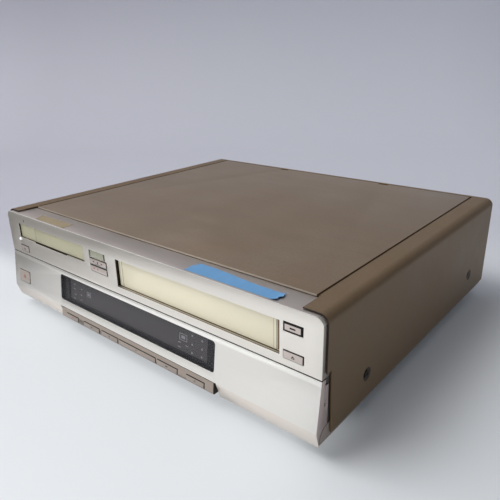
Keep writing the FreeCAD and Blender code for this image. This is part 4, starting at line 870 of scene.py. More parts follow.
def fill_round(g: Graph, start: bpy.types.Node) -> bpy.types.NodeSocket:
    """The form repeated round an axis and moved to a centre."""
    line = g.add("GeometryNodeMeshLine", {"Count": start.outputs["Count"], "Offset": (0.0, 0.0, 0.0)})
    index = g.add("GeometryNodeInputIndex").outputs[0]
    angle = g.math("MULTIPLY", g.math("DIVIDE", index, start.outputs["Count"]), 2 * math.pi)
    turn = g.add("FunctionNodeAxisAngleToRotation", {"Axis": start.outputs["Axis"], "Angle": angle})
    spread = g.add("GeometryNodeInstanceOnPoints", {"Points": line.outputs[0], "Instance": start.outputs["Form"],
                                                    "Rotation": turn.outputs[0]})
    moved = g.add("GeometryNodeTransform", {"Geometry": spread.outputs[0], "Translation": start.outputs["Centre"]})
    return moved.outputs[0]


def fill_scatter(g: Graph, start: bpy.types.Node) -> bpy.types.NodeSocket:
    """The form on a share of the points of a loose grid, turned by quarter turns."""
    grid = g.add("GeometryNodeMeshGrid", {"Size X": start.outputs["Width"], "Size Y": start.outputs["Length"],
                                          "Vertices X": start.outputs["Count"], "Vertices Y": start.outputs["Rows"]})
    reach = g.vector("SCALE", (1.0, 1.0, 0.0))
    g.tree.links.new(start.outputs["Stray"], reach.inputs["Scale"])
    back = g.vector("SCALE", (-1.0, -1.0, 0.0))
    g.tree.links.new(start.outputs["Stray"], back.inputs["Scale"])
    stray = g.add("FunctionNodeRandomValue", {0: back.outputs[0], 1: reach.outputs[0], "Seed": start.outputs["Seed"]},
                  data_type="FLOAT_VECTOR")
    loose = g.add("GeometryNodeSetPosition", {"Geometry": grid.outputs[0], "Offset": stray.outputs[0]})
    chosen = g.add("FunctionNodeRandomValue", {"Probability": start.outputs["Share"], "Seed": start.outputs["Seed"]},
                   data_type="BOOLEAN")
    quarter = g.add("FunctionNodeRandomValue", {4: 0, 5: 3, "Seed": start.outputs["Seed"]}, data_type="INT")
    turn = g.add("FunctionNodeAxisAngleToRotation",
                 {"Axis": (0.0, 0.0, 1.0), "Angle": g.math("MULTIPLY", quarter.outputs[2], math.pi / 2)})
    spread = g.add("GeometryNodeInstanceOnPoints", {"Points": loose.outputs[0], "Selection": chosen.outputs[3],
                                                    "Instance": start.outputs["Form"], "Rotation": turn.outputs[0]})
    moved = g.add("GeometryNodeTransform", {"Geometry": spread.outputs[0], "Translation": start.outputs["Centre"]})
    return moved.outputs[0]


INT = "NodeSocketInt"
COUNT = ("Count", INT, 1)
CENTRE = ("Centre", VECTOR, ORIGIN)
ROWS = growth_tree("rows of forms", [COUNT, ("Step", VECTOR, ORIGIN), ("Rows", INT, 1), ("Row Step", VECTOR, ORIGIN)],
                   fill_rows)
ROUND = growth_tree("forms round an axis", [COUNT, ("Axis", VECTOR, (0.0, 0.0, 1.0)), CENTRE], fill_round)
SCATTER = growth_tree("scattered forms", [COUNT, ("Rows", INT, 1), ("Width", FLOAT, 0.1), ("Length", FLOAT, 0.1),
                                          ("Stray", FLOAT, 0.0), ("Share", FLOAT, 0.5), ("Seed", INT, 1), CENTRE],
                      fill_scatter)


def rod_form(radius: float, long: float, way: Point, at: Point, sides: int = 12, top: float | None = None
             ) -> bpy.types.Mesh:
    """Short closed rod, in millimetres.

    Args:
        radius: Its radius.
        long: Its length.
        way: Direction that it runs in.
        at: Its middle.
        sides: Number of its sides.
        top: Radius at its far end, where that differs.

    Returns:
        The mesh.
    """
    form = bmesh.new()
    place = Matrix.Translation(Vector(at) * MM) @ Vector(way).to_track_quat("Z", "Y").to_matrix().to_4x4()
    bmesh.ops.create_cone(form, cap_ends=True, segments=sides, radius1=radius * MM,
                          radius2=(radius if top is None else top) * MM, depth=long * MM, matrix=place)
    mesh = bpy.data.meshes.new("rod")
    form.to_mesh(mesh)
    form.free()
    return mesh


def block_form(size: Point, at: Point, edge: float = 0.0) -> bpy.types.Mesh:
    """Block with bevelled edges, in millimetres.

    Args:
        size: Its size along each axis.
        at: Its middle.
        edge: Width of its bevels.

    Returns:
        The mesh.
    """
    form = bmesh.new()
    place = Matrix.Translation(Vector(at) * MM) @ Matrix.Diagonal((*[s * MM for s in size], 1.0))
    bmesh.ops.create_cube(form, size=1.0, matrix=place)
    if edge:
        bmesh.ops.bevel(form, geom=form.edges[:], offset=edge * MM, segments=1, affect="EDGES")
    mesh = bpy.data.meshes.new("block")
    form.to_mesh(mesh)
    form.free()
    return mesh


@dataclass
class Growth:
    """Several repeats of small forms that end up as one piece.

    Attributes:
        name: Name of the piece.
        paint: Its finish.
        body: Body that it rides on.
        slot: Material slot of the record.
        parts: Meshes gathered so far.
    """

    name: str
    paint: Paint
    body: str
    slot: str
    parts: list[bpy.types.Mesh] = field(default_factory=list)

    def grow(self, form: bpy.types.Mesh, tree: bpy.types.NodeTree, values: dict[str, object]) -> "Growth":
        """Repeat a form with a tree and keep the result.

        Args:
            form: The small form.
            tree: The Geometry Nodes tree.
            values: Value of each named input of the tree.

        Returns:
            This growth.
        """
        stand = bpy.data.objects.new("growing", form)
        bpy.context.scene.collection.objects.link(stand)
        modifier = stand.modifiers.new("repeat", "NODES")
        modifier.node_group = tree
        for item in tree.interface.items_tree:
            if item.item_type == "SOCKET" and item.in_out == "INPUT" and item.name in values:
                modifier[item.identifier] = values[item.name]
            elif item.item_type == "SOCKET" and item.name == "Finish":
                modifier[item.identifier] = self.paint.material()
        graph = bpy.context.evaluated_depsgraph_get()
        self.parts.append(bpy.data.meshes.new_from_object(stand.evaluated_get(graph)))
        stand.modifiers.clear()
        bpy.data.objects.remove(stand)
        return self

    def finish(self) -> bpy.types.Object:
        """Join what was grown into one piece.

        Returns:
            The piece.
        """
        form = bmesh.new()
        for part in self.parts:
            form.from_mesh(part)
        mesh = bpy.data.meshes.new(self.name + "_mesh")
        form.to_mesh(mesh)
        form.free()
        shade(mesh, 35.0)
        return add_piece(self.name, mesh, self.paint, self.body, self.slot)


def gap_rim(node: str, surface: Surface, lowest: float, highest: float, wide: float) -> bpy.types.Mesh:
    """Dark frame of painted shade over the gap round a button or key, broad above and to the right.

    Args:
        node: The button's node.
        surface: Face that it stands in.
        lowest: Second flat coordinate of its lower edge.
        highest: Second flat coordinate of its upper edge.
        wide: Width of its broad sides, in millimetres.

    Returns:
        The frame's mesh.
    """
    left, right = low(node).x + FLANGE, high(node).x - FLANGE
    outer = rounded(left - 0.3, right + wide, lowest - 0.3, highest + wide, 0.3)
    inner = rounded(left - 0.02, right + 0.02, lowest - 0.02, highest + 0.02, 0.1)
    return rim(node + "_gap_mesh", surface, outer, inner, -0.05, 0.07)


@dataclass
class Casing:
    """Cover, top plate, chassis, feet and rear panel, with the tape and the sticker on top.

    Attributes:
        tape_left: Left end of the tape, in millimetres from the middle.
        tape_right: Its right end.
        tape_front: Distance of its front edge from the fascia.
        tape_curl: Lift of its loose right end.
        sticker: Corners of the sticker, front left first, turning left.
        foot_ribs: Number of ribs round each foot.
    """

    tape_left: float = 77.5
    tape_right: float = 170.5
    tape_front: float = 2.6
    tape_curl: float = 1.25
    sticker: tuple[Flat, ...] = ((-154.0, 2.2), (-98.8, 1.8), (-102.4, 14.8), (-159.6, 13.6))
    foot_ribs: int = 36

    def build(self) -> None:
        """Build the pieces of the casing."""
        soften("top_plate", Paint.PLATE, "plate_paint", 0.25)
        self.lay_tape()
        self.lay_sticker()
        self.rib_feet()

    def dress(self) -> None:
        """Give the casing's nodes their finishes."""
        keep("top_cover", Paint.CASING)
        keep("base_chassis", Paint.ZINC)
        keep("feet", Paint.RUBBER)
        keep("rear_panel", Paint.REAR)
        keep("cover_screws", Paint.SCREW)

    def lay_tape(self) -> None:
        """Strip of tape with torn ends, its right end curling up."""
        columns, lanes = 60, 8
        rows = []
        for lane in range(lanes + 1):
            share = lane / lanes
            left = self.tape_left + 2.5 * share + 1.1 * math.sin(share * 9.0)
            right = self.tape_right + 2.2 * math.sin(share * 2.4) + 0.9 * math.sin(share * 14.0)
            row = []
            for column in range(columns + 1):
                along = column / columns
                u = left + (right - left) * along
                back = 19.4 - 4.6 * along + 0.8 * math.sin(along * 7.0)
                v = self.tape_front + (back - self.tape_front) * share
                lift = 0.08 + 0.10 * (1 + math.sin(along * 31.0 + 2.0 * share)) * share
                lift += self.tape_curl * max(0.0, (along - 0.93) / 0.07) ** 2
                row.append((u, v, lift))
            rows.append(row)
        mesh = sheet_mesh("tape_mesh", ROOF, rows, 0.14)
        add_piece("tape_strip", mesh, Paint.TAPE, "root", "silver_plastic")

    def lay_sticker(self) -> None:
        """Old sticker with slightly lifted corners."""
        front_left, front_right, back_right, back_left = self.sticker
        count = 14
        rows = []
        for r in range(7):
            b = r / 6
            row = []
            for c in range(count + 1):
                a = c / count
                u = (front_left[0] * (1 - a) + front_right[0] * a) * (1 - b)
                u += (back_left[0] * (1 - a) + back_right[0] * a) * b
                v = (front_left[1] * (1 - a) + front_right[1] * a) * (1 - b)
                v += (back_left[1] * (1 - a) + back_right[1] * a) * b
                corner = max(0.0, abs(a - 0.5) * 2 - 0.86) * max(0.0, abs(b - 0.5) * 2 - 0.5)
                row.append((u, v, 0.05 + corner * 5.0))
            rows.append(row)
        mesh = sheet_mesh("sticker_mesh", ROOF, rows, 0.1)
        add_piece("pale_sticker", mesh, Paint.STICKER, "root", "cream_plastic")

    def rib_feet(self) -> None:
        """Small ribs round the lower edge of each foot."""
        lowest, highest = low("feet"), high("feet")
        radius = 15.0
        growth = Growth("foot_ribs", Paint.RUBBER, "root", "foot_rubber")
        for x in (lowest.x + radius, highest.x - radius):
            for y in (lowest.y + radius, highest.y - radius):
                form = block_form((0.9, 1.1, 9.0), (0.0, radius, 6.9), 0.3)
                growth.grow(form, ROUND, {"Count": self.foot_ribs, "Centre": (x * MM, y * MM, 0.0)})
        growth.finish()


@dataclass
class Fascia:
    """Upper fascia with its doors, buttons and lamps.

    Attributes:
        ink: Thickness of printed signs, in millimetres.
        button_proud: How far the buttons stand out of the fascia.
        gap: Width of the painted gap shade round the buttons, on their upper and right sides.
    """

    ink: float = 0.05
    button_proud: float = 0.5
    gap: float = 1.15

    def build(self) -> None:
        """Build the softened fascia, doors and buttons, and their signs."""
        soften("front_bezel", Paint.FASCIA, "silver_plastic", 0.25)
        soften("vhs_door", Paint.CREAM, "cream_plastic", 0.15)
        soften("dv_door", Paint.OLIVE, "olive_plastic", 0.15)
        soften("dub_lamp", Paint.LENS, "lamp_lens", 0.2)
        for node in ("dv_eject_button", "dub_in_button", "dub_out_button", "picture_button", "vhs_eject_button"):
            # The picture button's body takes the gap shade material: painted shade in its outer border, and the dark
            # mark in its middle.
            framed = node == "picture_button"
            soften(node, Paint.GAP if framed else Paint.BUTTON, "button_plastic", 0.15)
            mesh = gap_rim(node, FRONT, low(node).z + FLANGE, high(node).z - FLANGE, 0.35 if framed else self.gap)
            add_piece(node + "_gap", mesh, Paint.GAP, "root", "dark_plastic")
        # Painted shade: a dark strip in the gap between the fascia and the flap.
        line = rounded(-PANEL_HALF + 0.6, PANEL_HALF - 0.6, FLAP_TOP + 0.12, SPLIT - 0.05, 0.2)
        add_piece("split_gap", plates("split_gap_mesh", FRONT, [line], 0.2, -0.45), Paint.GAP, "root", "dark_plastic")
        self.print_signs()

    def dress(self) -> None:
        """Give the fascia's other nodes their finishes."""
        keep("status_lamp", Paint.LAMP)
        keep("switch_boards", Paint.BOARD)

    def middle(self, node: str) -> Flat:
        """Middle of a button's face, across and up."""
        a, b = low(node), high(node)
        return (a.x + b.x) / 2, (a.z + b.z) / 2

    def sign(self, name: str, node: str, outlines: Iterable[Sequence[Flat]], paint: Paint = Paint.INK) -> None:
        """Print a sign on a button.

        Args:
            name: Name of the piece.
            node: The button's node.
            outlines: Outlines of the sign.
            paint: Its ink.
        """
        mesh = plates(name + "_mesh", FRONT, outlines, self.ink, self.button_proud)
        add_piece(name, mesh, paint, frame["nodes"][node]["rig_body"], "dark_plastic")

    def print_signs(self) -> None:
        """Plain signs on the buttons and the small index mark at the top left."""
        x, z = self.middle("picture_button")
        a, b = low("picture_button"), high("picture_button")
        outer = rounded(a.x + FLANGE + 1.1, b.x - FLANGE - 1.3, a.z + FLANGE + 1.2, b.z - FLANGE - 0.9, 0.3)
        inner = rounded(x - 2.6, x + 2.4, z - 0.6, z + 0.7, 0.3)
        mesh = rim("picture_face_mesh", FRONT, outer, inner, self.button_proud, self.ink)
        add_piece("picture_face", mesh, Paint.BUTTON, "picture_button", "button_plastic")
        for node in ("vhs_eject_button", "dv_eject_button"):
            x, z = self.middle(node)
            peak = [(x - 1.5, z - 0.3), (x + 1.5, z - 0.3), (x, z + 1.3)]
            self.sign(node + "_sign", node, [peak, rect(x, z - 1.0, 3.0, 0.55)])
        x, z = self.middle("dub_in_button")
        self.sign("dub_in_sign", "dub_in_button",
                  [triangle(x - 6.6, z, 2.4, -1), rect(x, z, 1.4, 2.2), rect(x, z - 1.6, 9.0, 0.4),
                   triangle(x + 6.6, z, 2.4, 1)])
        x, z = self.middle("dub_out_button")
        self.sign("dub_out_sign", "dub_out_button", [rect(x - 7.0, z + 0.4, 1.6, 1.6), rect(x - 1.0, z + 0.4, 1.6, 1.6)],
                  Paint.RED_INK)
        tick = plates("index_mark_mesh", FRONT, [rect(-178.1, 108.6, 1.0, 3.2)], self.ink)
        add_piece("index_mark", tick, Paint.INK, "root", "dark_plastic")


@dataclass
class DropFlap:
    """Flap with its smoked window, masked display sheet and power button.

    Attributes:
        clear: Left, right, low and high edge of the clear area, on the slope.
        mask_depth: How far the mask lies behind the sloping face.
        sheet_depth: How far the display sheet lies behind it.
        badges: Middle of each pale badge.
        badge_halves: Half the width and height of each badge.
        dots: Middle of each small round mark.
        dashes: Middle of each short dash.
    """

    clear: tuple[float, float, float, float] = (-104.0, 101.8, -30.6, -7.6)
    mask_depth: float = 3.14
    sheet_depth: float = 5.4
    badges: tuple[Flat, ...] = ((-71.1, -18.2), (70.5, -17.2))
    badge_halves: tuple[Flat, ...] = ((3.4, 2.4), (4.8, 3.0))
    dots: tuple[Flat, ...] = ((81.5, -12.0), (81.6, -20.3), (81.8, -28.1), (93.3, -13.0), (93.4, -20.6), (93.5, -27.9),
                              (-84.6, -22.2))
    dashes: tuple[Flat, ...] = ((-96.4, -13.2), (-96.4, -18.3), (-95.4, -24.2), (-97.0, -29.0), (-84.0, -15.8),
                                (-84.6, -28.0), (66.0, -23.0), (66.0, -27.5), (75.0, -24.0))

    def build(self) -> None:
        """Build the softened flap and what lies behind its window."""
        soften("flap", Paint.FLAP, "silver_plastic", 0.3)
        soften("power_button", Paint.POWER, "button_plastic", 0.2)
        mesh = gap_rim("power_button", SLANT, slant_v(low("power_button").z + FLANGE),
                       slant_v(high("power_button").z - FLANGE), 1.1)
        add_piece("power_button_gap", mesh, Paint.GAP, "flap", "dark_plastic")
        left, right, bottom, top = self.clear
        window_low, window_high = low("display_window"), high("display_window")
        outer = rounded(window_low.x - 1.6, window_high.x + 1.6, slant_v(window_low.z) - 1.2,
                        slant_v(window_high.z) + 1.2, 3.0)
        inner = rounded(left, right, bottom, top, 0.6)
        mesh = rim("window_mask_mesh", SLANT, outer, inner, -self.mask_depth - 0.12, 0.12)
        add_piece("window_mask", mesh, Paint.MASK, "flap", "dark_plastic")
        wall_outer = rounded(left - 0.8, right + 0.8, bottom - 0.8, top + 0.8, 1.0)
        mesh = rim("window_well_mesh", SLANT, wall_outer, inner, -self.sheet_depth - 0.3,
                   self.sheet_depth - self.mask_depth + 0.1)
        add_piece("window_well", mesh, Paint.MASK, "flap", "dark_plastic")
        mesh = plates("display_sheet_mesh", SLANT, [rounded(left - 0.4, right + 0.4, bottom - 0.4, top + 0.4, 0.6)],
                      0.4, -self.sheet_depth - 0.4)
        add_piece("display_sheet", mesh, Paint.SCREEN, "flap", "display_glass")
        self.print_marks()

    def dress(self) -> None:
        """Give the smoked pane its finish."""
        keep("display_window", Paint.PANE)

    def print_marks(self) -> None:
        """Pale marks on the display sheet and the sign on the power button."""
        shapes = [disc(u, v, 1.0, 12) for u, v in self.dots] + [rect(u, v, 3.4, 0.8) for u, v in self.dashes]
        for (u, v), (half, tall) in zip(self.badges, self.badge_halves):
            shapes += [rect(u, v + tall, 2 * half, 0.6), rect(u, v - tall, 2 * half, 0.6),
                       rect(u - half + 0.4, v, 0.8, 2 * tall - 0.7), rect(u + half - 0.4, v, 0.8, 2 * tall - 0.7),
                       rect(u, v, half, tall)]
        mesh = plates("display_marks_mesh", SLANT, shapes, 0.05, -self.sheet_depth)
        add_piece("display_marks", mesh, Paint.PALE_INK, "flap", "display_glass")
        face = 0.5
        u = (low("power_button").x + high("power_button").x) / 2
        v = slant_v((low("power_button").z + high("power_button").z) / 2)
        shapes = [arc_band(u, v, 2.3, 0.6, 70.0), rect(u, v + 1.7, 0.6, 2.4)]
        mesh = plates("power_sign_mesh", SLANT, shapes, 0.05, face)
        add_piece("power_sign", mesh, Paint.RED_INK, "power_button", "dark_plastic")


@dataclass
class KeyRow:
    """Fixed strip with the six transport keys.

    Attributes:
        proud: How far the keys stand out of the slope.
        size: Size of the signs, in millimetres.
        gap: Width of the painted gap shade round the keys, on their upper and right sides.
    """

    proud: float = 0.35
    size: float = 1.7
    gap: float = 1.0

    def build(self) -> None:
        """Build the softened strip and keys, and print their signs."""
        soften("button_strip", Paint.STRIP, "key_plastic", 0.2)
        signs = {"record_key": [disc(0, 0, 0.8, 16)], "rewind_key": self.arrows(-1), "stop_key": [rect(0, 0, 1.5, 1.5)],
                 "play_key": [triangle(0, 0, self.size, 1)], "forward_key": self.arrows(1),
                 "pause_key": [rect(-0.6, 0, 0.5, 1.7), rect(0.6, 0, 0.5, 1.7)]}
        for node, shapes in signs.items():
            soften(node, Paint.KEY, "key_plastic", 0.1)
            gap = gap_rim(node, SLANT, slant_v(low(node).z), slant_v(high(node).z - FLANGE), self.gap)
            add_piece(node + "_gap", gap, Paint.GAP, "root", "dark_plastic")
            u = (low(node).x + high(node).x) / 2
            v = slant_v(low("record_key").z + 2.3)
            moved = [[(u + a, v + b) for a, b in shape] for shape in shapes]
            mesh = plates(node + "_sign_mesh", SLANT, moved, 0.05, self.proud)
            ink = Paint.RED_INK if node == "record_key" else Paint.INK
            add_piece(node + "_sign", mesh, ink, node, "dark_plastic")

    def arrows(self, way: int) -> list[list[Flat]]:
        """Two triangles side by side that point one way."""
        step = self.size * 0.9
        return [triangle(-step / 2, 0, self.size, way), triangle(step / 2, 0, self.size, way)]


@dataclass
class InnerPanel:
    """What shows when the flap is down: panel, display, jacks, dial and ring.

    Attributes:
        ring_ribs: Number of ribs round the shuttle ring.
        ring_radius: Its radius, in millimetres; not used.
        dial_ribs: Number of ribs round the dial's edge; not used.
    """

    ring_ribs: int = 60
    ring_radius: float = 18.5
    dial_ribs: int = 48

    def build(self) -> None:
        """Build the softened ring and dial, the ribs round the ring and the socket rings."""
        soften("shuttle_ring", Paint.DIAL, "dial_plastic", 0.4)
        soften("jog_dial", Paint.DIAL, "dial_plastic", 0.3)
        ring_low, ring_high = low("shuttle_ring"), high("shuttle_ring")
        x, z = (ring_low.x + ring_high.x) / 2, (ring_low.z + ring_high.z) / 2
        ribs = Growth("ring_ribs", Paint.DIAL, "shuttle_ring", "dial_plastic")
        form = block_form((0.8, 4.2, 0.9), (0.0, (ring_low.y + ring_high.y) / 2 - 0.4, ring_high.z - z + 0.1), 0.25)
        ribs.grow(form, ROUND, {"Count": self.ring_ribs, "Axis": (0.0, 1.0, 0.0), "Centre": (x * MM, 0.0, z * MM)})
        ribs.finish()
        self.ring_jacks()

    def ring_jacks(self) -> None:
        """Coloured ring at the mouth of each front jack."""
        a, b = low("front_jacks"), high("front_jacks")
        z = (a.z + b.z) / 2
        places = [a.x + 9.0 + step for step in (0.0, 16.0, 32.0, 50.0)]
        paints = (Tint.YELLOW, Tint.WHITE, Tint.RED, Tint.BLACK)
        for place, tint in zip(places, paints):
            outer = disc(place, z, 4.6, 28)
            inner = disc(place, z, 3.0, 28)
            mesh = rim("jack_ring_mesh", Surface(Vector((0, a.y, 0)), Vector((1, 0, 0)), Vector((0, 0, 1))),
                       outer, inner, -0.02, 0.6)
            shade(mesh)
            piece = add_piece("jack_ring_" + tint.name.lower(), mesh, Paint.DARKS, "root", "dark_plastic")
            piece.data.materials[0] = tint.value.material()

    def dress(self) -> None:
        """Give the nodes behind the flap their finishes."""
        for node in ("inner_panel", "flap_catch"):
            keep(node, Paint.INNER)
        keep("end_blocks", Paint.BLOCKS)
        keep("display_tube", Paint.GLASS)
        keep("display_board", Paint.BOARD)
        keep("front_jacks", Paint.DARKS)
        keep("hinge_pins", Paint.BRIGHT)


class Tint(Enum):
    """Colours of the socket rings."""

    YELLOW = Finish("yellow socket plastic", (222, 186, 60), 0.4)
    WHITE = Finish("white socket plastic", (226, 224, 218), 0.4)
    RED = Finish("red socket plastic", (178, 44, 40), 0.4)
    BLACK = Finish("black socket plastic", (34, 34, 36), 0.4)


@dataclass
class RearSockets:
    """Sockets, inlet and fan on the rear panel.

    Attributes:
        threads: Number of thread turns on each aerial socket.
        thread_pitch: Distance between them, in millimetres.
    """

    threads: int = 7
    thread_pitch: float = 1.0

    def build(self) -> None:
        """Build the threads of the aerial sockets."""
        a, b = low("aerial_sockets"), high("aerial_sockets")
        xs = (a.x + 10.0, b.x - 10.0)
        growth = Growth("aerial_threads", Paint.NICKEL, "root", "nickel_metal")
        base = (low("rear_panel").y + 1.0) + 1.4
        for x in xs:
            for z in (a.z + 10.0, b.z - 10.0):
                form = rod_form(4.75, 0.5, (0, 1, 0), (x, base, z), 28, 4.75)
                growth.grow(form, ROWS, {"Count": self.threads, "Step": (0.0, self.thread_pitch * MM, 0.0)})
        growth.finish()

    def dress(self) -> None:
        """Give the rear nodes their finishes."""
        keep("rear_jacks", Paint.DARKS)
        keep("mini_din_sockets", Paint.DARKS)
        keep("digital_socket", Paint.DARKS)
        keep("ac_inlet", Paint.DARKS)
        keep("fan_frame", Paint.DARKS)
        keep("fan_rotor", Paint.DARKS)
        keep("aerial_sockets", Paint.NICKEL)


@dataclass
class Machinery:
    """Boards, power supply and the two tape mechanisms."""

    seed: int = 11

    def build(self) -> None:
        """Build the small parts on the main board."""
        a, b = low("main_board"), high("main_board")
        top = a.z + 1.6
        width, length = (b.x - a.x - 24.0) * MM, (b.y - a.y - 24.0) * MM
        centre = ((a.x + b.x) / 2 * MM, (a.y + b.y) / 2 * MM, 0.0)
        common = {"Width": width, "Length": length, "Centre": centre}
        resistors = Growth("board_resistors", Paint.REEL, "root", "reel_plastic")
        resistors.grow(block_form((3.2, 1.6, 0.9), (0, 0, top + 0.4), 0.2), SCATTER,
                       {**common, "Count": 22, "Rows": 16, "Stray": 0.002, "Share": 0.45, "Seed": self.seed})
        resistors.finish()
        cans = Growth("board_cans", Paint.BRIGHT, "root", "bright_steel")
        cans.grow(rod_form(3.0, 7.0, (0, 0, 1), (0, 0, top + 3.5), 16), SCATTER,
                  {**common, "Count": 9, "Rows": 6, "Stray": 0.004, "Share": 0.3, "Seed": self.seed + 1})
        cans.finish()

    def dress(self) -> None:
        """Give the inner nodes their finishes."""
        plan = {
            Paint.BOARD: ("main_board", "power_supply"),
            Paint.CORE: ("transformer",),
            Paint.ZINC: ("vhs_deck_frame", "dv_deck_frame", "vhs_slide_plates"),
            Paint.BRIGHT: ("vhs_holder", "dv_holder", "vhs_capstan"),
            Paint.REEL: ("vhs_supply_reel", "vhs_takeup_reel", "dv_supply_reel", "dv_takeup_reel"),
            Paint.CAST: ("vhs_drum_base", "dv_drum_base"),
            Paint.TURNED: ("vhs_head_drum", "dv_head_drum"),
        }
        for paint, nodes in plan.items():
            for node in nodes:
                keep(node, paint)


@dataclass
class Studio:
    """Pale floor and backdrop, soft lights and the camera.

    Attributes:
        azimuth: Camera's angle round the object, in degrees.
        elevation: Its angle over the horizon.
        roll: Its tilt about its own axis.
        lens: Its focal length, in millimetres on a 36 mm sensor.
        eye: Its place, in metres.
    """

    azimuth: float = 40.167
    elevation: float = 20.957
    roll: float = -1.194
    lens: float = 37.202
    eye: Point = (0.36935, -0.43715, 0.27942)

    def build(self) -> None:
        """Build floor, backdrop, lights, world and camera."""
        self.sweep()
        self.lamp("window_light", (-1.65, -1.35, 3.0), (0.0, 0.0, 0.05), 2.5, 2.3, 102.0, (1.0, 0.99, 0.98))
        self.lamp("front_light", (0.11, -0.62, 0.14), (0.11, -0.18, 0.06), 0.34, 0.20, 0.7, (1.0, 0.99, 0.97), False)
        self.world()
        self.stand_camera()
        bpy.context.scene.view_settings.view_transform = "Standard"

    def world(self) -> None:
        """World light: weak ambient for surfaces, pale for the camera, dim in reflections."""
        world = bpy.data.worlds.new("studio")
        world.use_nodes = True
        g = Graph(world.node_tree)
        back = world.node_tree.nodes["Background"]
        path = g.add("ShaderNodeLightPath")
        glossy = g.mix(path.outputs["Is Glossy Ray"], linear((142, 143, 147)), linear((112, 111, 112)))
        g.tree.links.new(g.mix(path.outputs["Is Camera Ray"], glossy, linear((186, 188, 197))), back.inputs["Color"])
        bpy.context.scene.world = world

    def sweep(self) -> None:
        """Floor that curves up into a backdrop behind the object."""
        profile = [(-3.0, 0.0)]
        radius, wall_y = 0.5, 1.5
        for k in range(17):
            t = math.radians(-90 + 90 * k / 16)
            profile.append((wall_y - radius + radius * math.cos(t), radius + radius * math.sin(t)))
        profile.append((wall_y, 3.0))
        form = bmesh.new()
        turn = Matrix.Rotation(math.radians(self.azimuth), 3, "Z")
        lines = []
        for side in (-4.0, 4.0):
            lines.append([form.verts.new(turn @ Vector((side, y, z - 0.0001))) for y, z in profile])
        for k in range(len(profile) - 1):
            form.faces.new((lines[0][k], lines[1][k], lines[1][k + 1], lines[0][k + 1]))
        mesh = bpy.data.meshes.new("floor_mesh")
        form.to_mesh(mesh)
        form.free()
        mesh.shade_smooth()
        floor = bpy.data.objects.new("floor", mesh)
        bpy.context.scene.collection.objects.link(floor)
        floor.data.materials.append(self.floor_material())

    def floor_material(self) -> bpy.types.Material:
        """Pale floor with painted light: only in reflections is it dark on the left and paler ahead of the object, and
        ahead of the object a camera-only glow lifts the object's shadow.

        Returns:
            The material.
        """
        material = bpy.data.materials.new("pale floor")
        material.use_nodes = True
        g = Graph(material.node_tree)
        shader = material.node_tree.nodes["Principled BSDF"]
        at = g.add("ShaderNodeSeparateXYZ", {0: g.add("ShaderNodeTexCoord").outputs["Object"]})
        path = g.add("ShaderNodeLightPath")
        mirrored, seen = path.outputs["Is Glossy Ray"], path.outputs["Is Camera Ray"]
        # Painted reflection: the floor to the left and behind is dark only as mirrored, which darkens the fascia's left
        # end.
        beyond = g.math("MULTIPLY", self.ramp(g, at.outputs[0], -0.12, -0.46), self.ramp(g, at.outputs[1], 0.0, -0.15))
        ahead = g.math("MULTIPLY", self.ramp(g, at.outputs[0], 0.235, 0.175), self.ramp(g, at.outputs[1], -0.10, -0.15))
        turn = math.radians(self.azimuth)
        place = g.add("ShaderNodeTexCoord").outputs["Object"]
        depth = g.vector("DOT_PRODUCT", place, (-math.sin(turn), math.cos(turn), 0.0)).outputs["Value"]
        side = g.vector("DOT_PRODUCT", place, (math.cos(turn), math.sin(turn), 0.0)).outputs["Value"]
        far = g.add("ShaderNodeMapRange", {"Value": depth, "From Min": -0.05, "From Max": 0.30},
                    interpolation_type="SMOOTHSTEP").outputs["Result"]
        right = g.add("ShaderNodeMapRange", {"Value": side, "From Min": -0.7, "From Max": 0.7}).outputs["Result"]
        wall = g.mix(right, linear((183, 184, 194)), linear((210, 213, 222)))
        # Painted reflection: the backdrop as mirrored is darker to the left.
        shown = g.mix(right, linear((150, 146, 148)), linear((214, 211, 210)))
        wall = g.mix(mirrored, wall, shown)
        sweep = g.mix(far, linear((224, 228, 231)), wall)
        # Painted light: ahead of the object, camera rays see a darker base with a glow that lifts the object's shadow
        # there, and reflections see a paler floor.
        lit = g.math("MULTIPLY", ahead, seen)
        tone = g.mix(lit, sweep, linear((150, 153, 156)))
        tone = g.mix(g.math("MULTIPLY", ahead, mirrored), tone, linear((244, 246, 248)))
        tone = g.mix(g.math("MULTIPLY", beyond, mirrored), tone, linear((62, 55, 50)))
        g.tree.links.new(tone, shader.inputs["Base Color"])
        glow = g.mix(g.math("MULTIPLY", lit, 0.59), linear((0, 0, 0)), linear((224, 228, 231)))
        g.tree.links.new(glow, shader.inputs["Emission Color"])
        shader.inputs["Emission Strength"].default_value = 1.0
        shader.inputs["Roughness"].default_value = 0.7
        return material

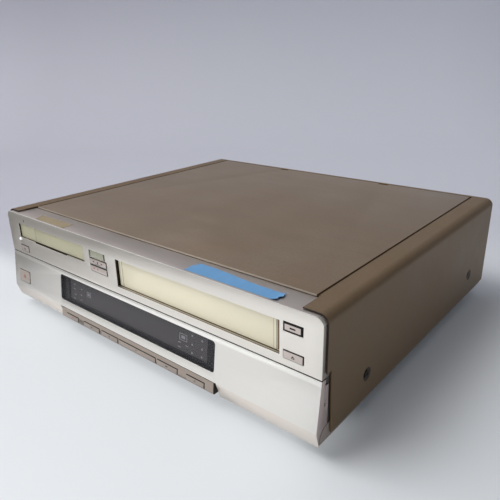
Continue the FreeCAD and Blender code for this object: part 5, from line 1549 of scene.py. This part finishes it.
    @staticmethod
    def ramp(g: Graph, value: bpy.types.NodeSocket, start: float, end: float) -> bpy.types.NodeSocket:
        """Smooth rise from zero at a start to one at an end.

        Args:
            g: Graph of the material.
            value: Socket with the coordinate, in metres.
            start: Where it is zero.
            end: Where it is one.

        Returns:
            Socket of the rise.
        """
        return g.add("ShaderNodeMapRange", {"Value": value, "From Min": start, "From Max": end},
                     interpolation_type="SMOOTHSTEP").outputs["Result"]

    def lamp(self, name: str, place: Point, aim: Point, wide: float, tall: float, power: float, tone: Point,
             mirrored: bool = True) -> None:
        """Add a soft area lamp.

        Args:
            name: Its name.
            place: Where it stands.
            aim: Point that it looks at.
            wide: Its width.
            tall: Its height.
            power: Its power in watts.
            tone: Its linear colour.
            mirrored: Whether glossy surfaces mirror it.
        """
        data = bpy.data.lights.new(name, "AREA")
        data.shape = "RECTANGLE"
        data.size, data.size_y = wide, tall
        data.energy = power
        data.color = tone
        lamp = bpy.data.objects.new(name, data)
        bpy.context.scene.collection.objects.link(lamp)
        lamp.location = place
        lamp.visible_camera = False
        lamp.visible_glossy = mirrored
        lamp.rotation_mode = "QUATERNION"
        lamp.rotation_quaternion = (Vector(aim) - Vector(place)).to_track_quat("-Z", "Y")

    def stand_camera(self) -> None:
        """Camera at the photographed viewing angle."""
        a, e, r = (math.radians(v) for v in (self.azimuth, self.elevation, self.roll))
        back = Vector((math.sin(a) * math.cos(e), -math.cos(a) * math.cos(e), math.sin(e)))
        right = Vector((0, 0, 1)).cross(back).normalized()
        up = back.cross(right)
        level_right = math.cos(r) * right + math.sin(r) * up
        level_up = -math.sin(r) * right + math.cos(r) * up
        data = bpy.data.cameras.new("camera")
        data.sensor_width = 36.0
        data.lens = self.lens
        data.clip_start, data.clip_end = 0.01, 50.0
        camera = bpy.data.objects.new("camera", data)
        bpy.context.scene.collection.objects.link(camera)
        camera.matrix_world = Matrix.Translation(self.eye) @ Matrix((level_right, level_up, back)).transposed().to_4x4()
        bpy.context.scene.camera = camera


def main() -> None:
    """Build the deck's sub-assemblies in order."""
    for assembly in (Casing(), Fascia(), DropFlap(), KeyRow(), InnerPanel(), RearSockets(), Machinery()):
        assembly.build()
        if hasattr(assembly, "dress"):
            assembly.dress()
        LOG.info("%s done", type(assembly).__name__)
    Studio().build()


if __name__ == "__main__":
    main()
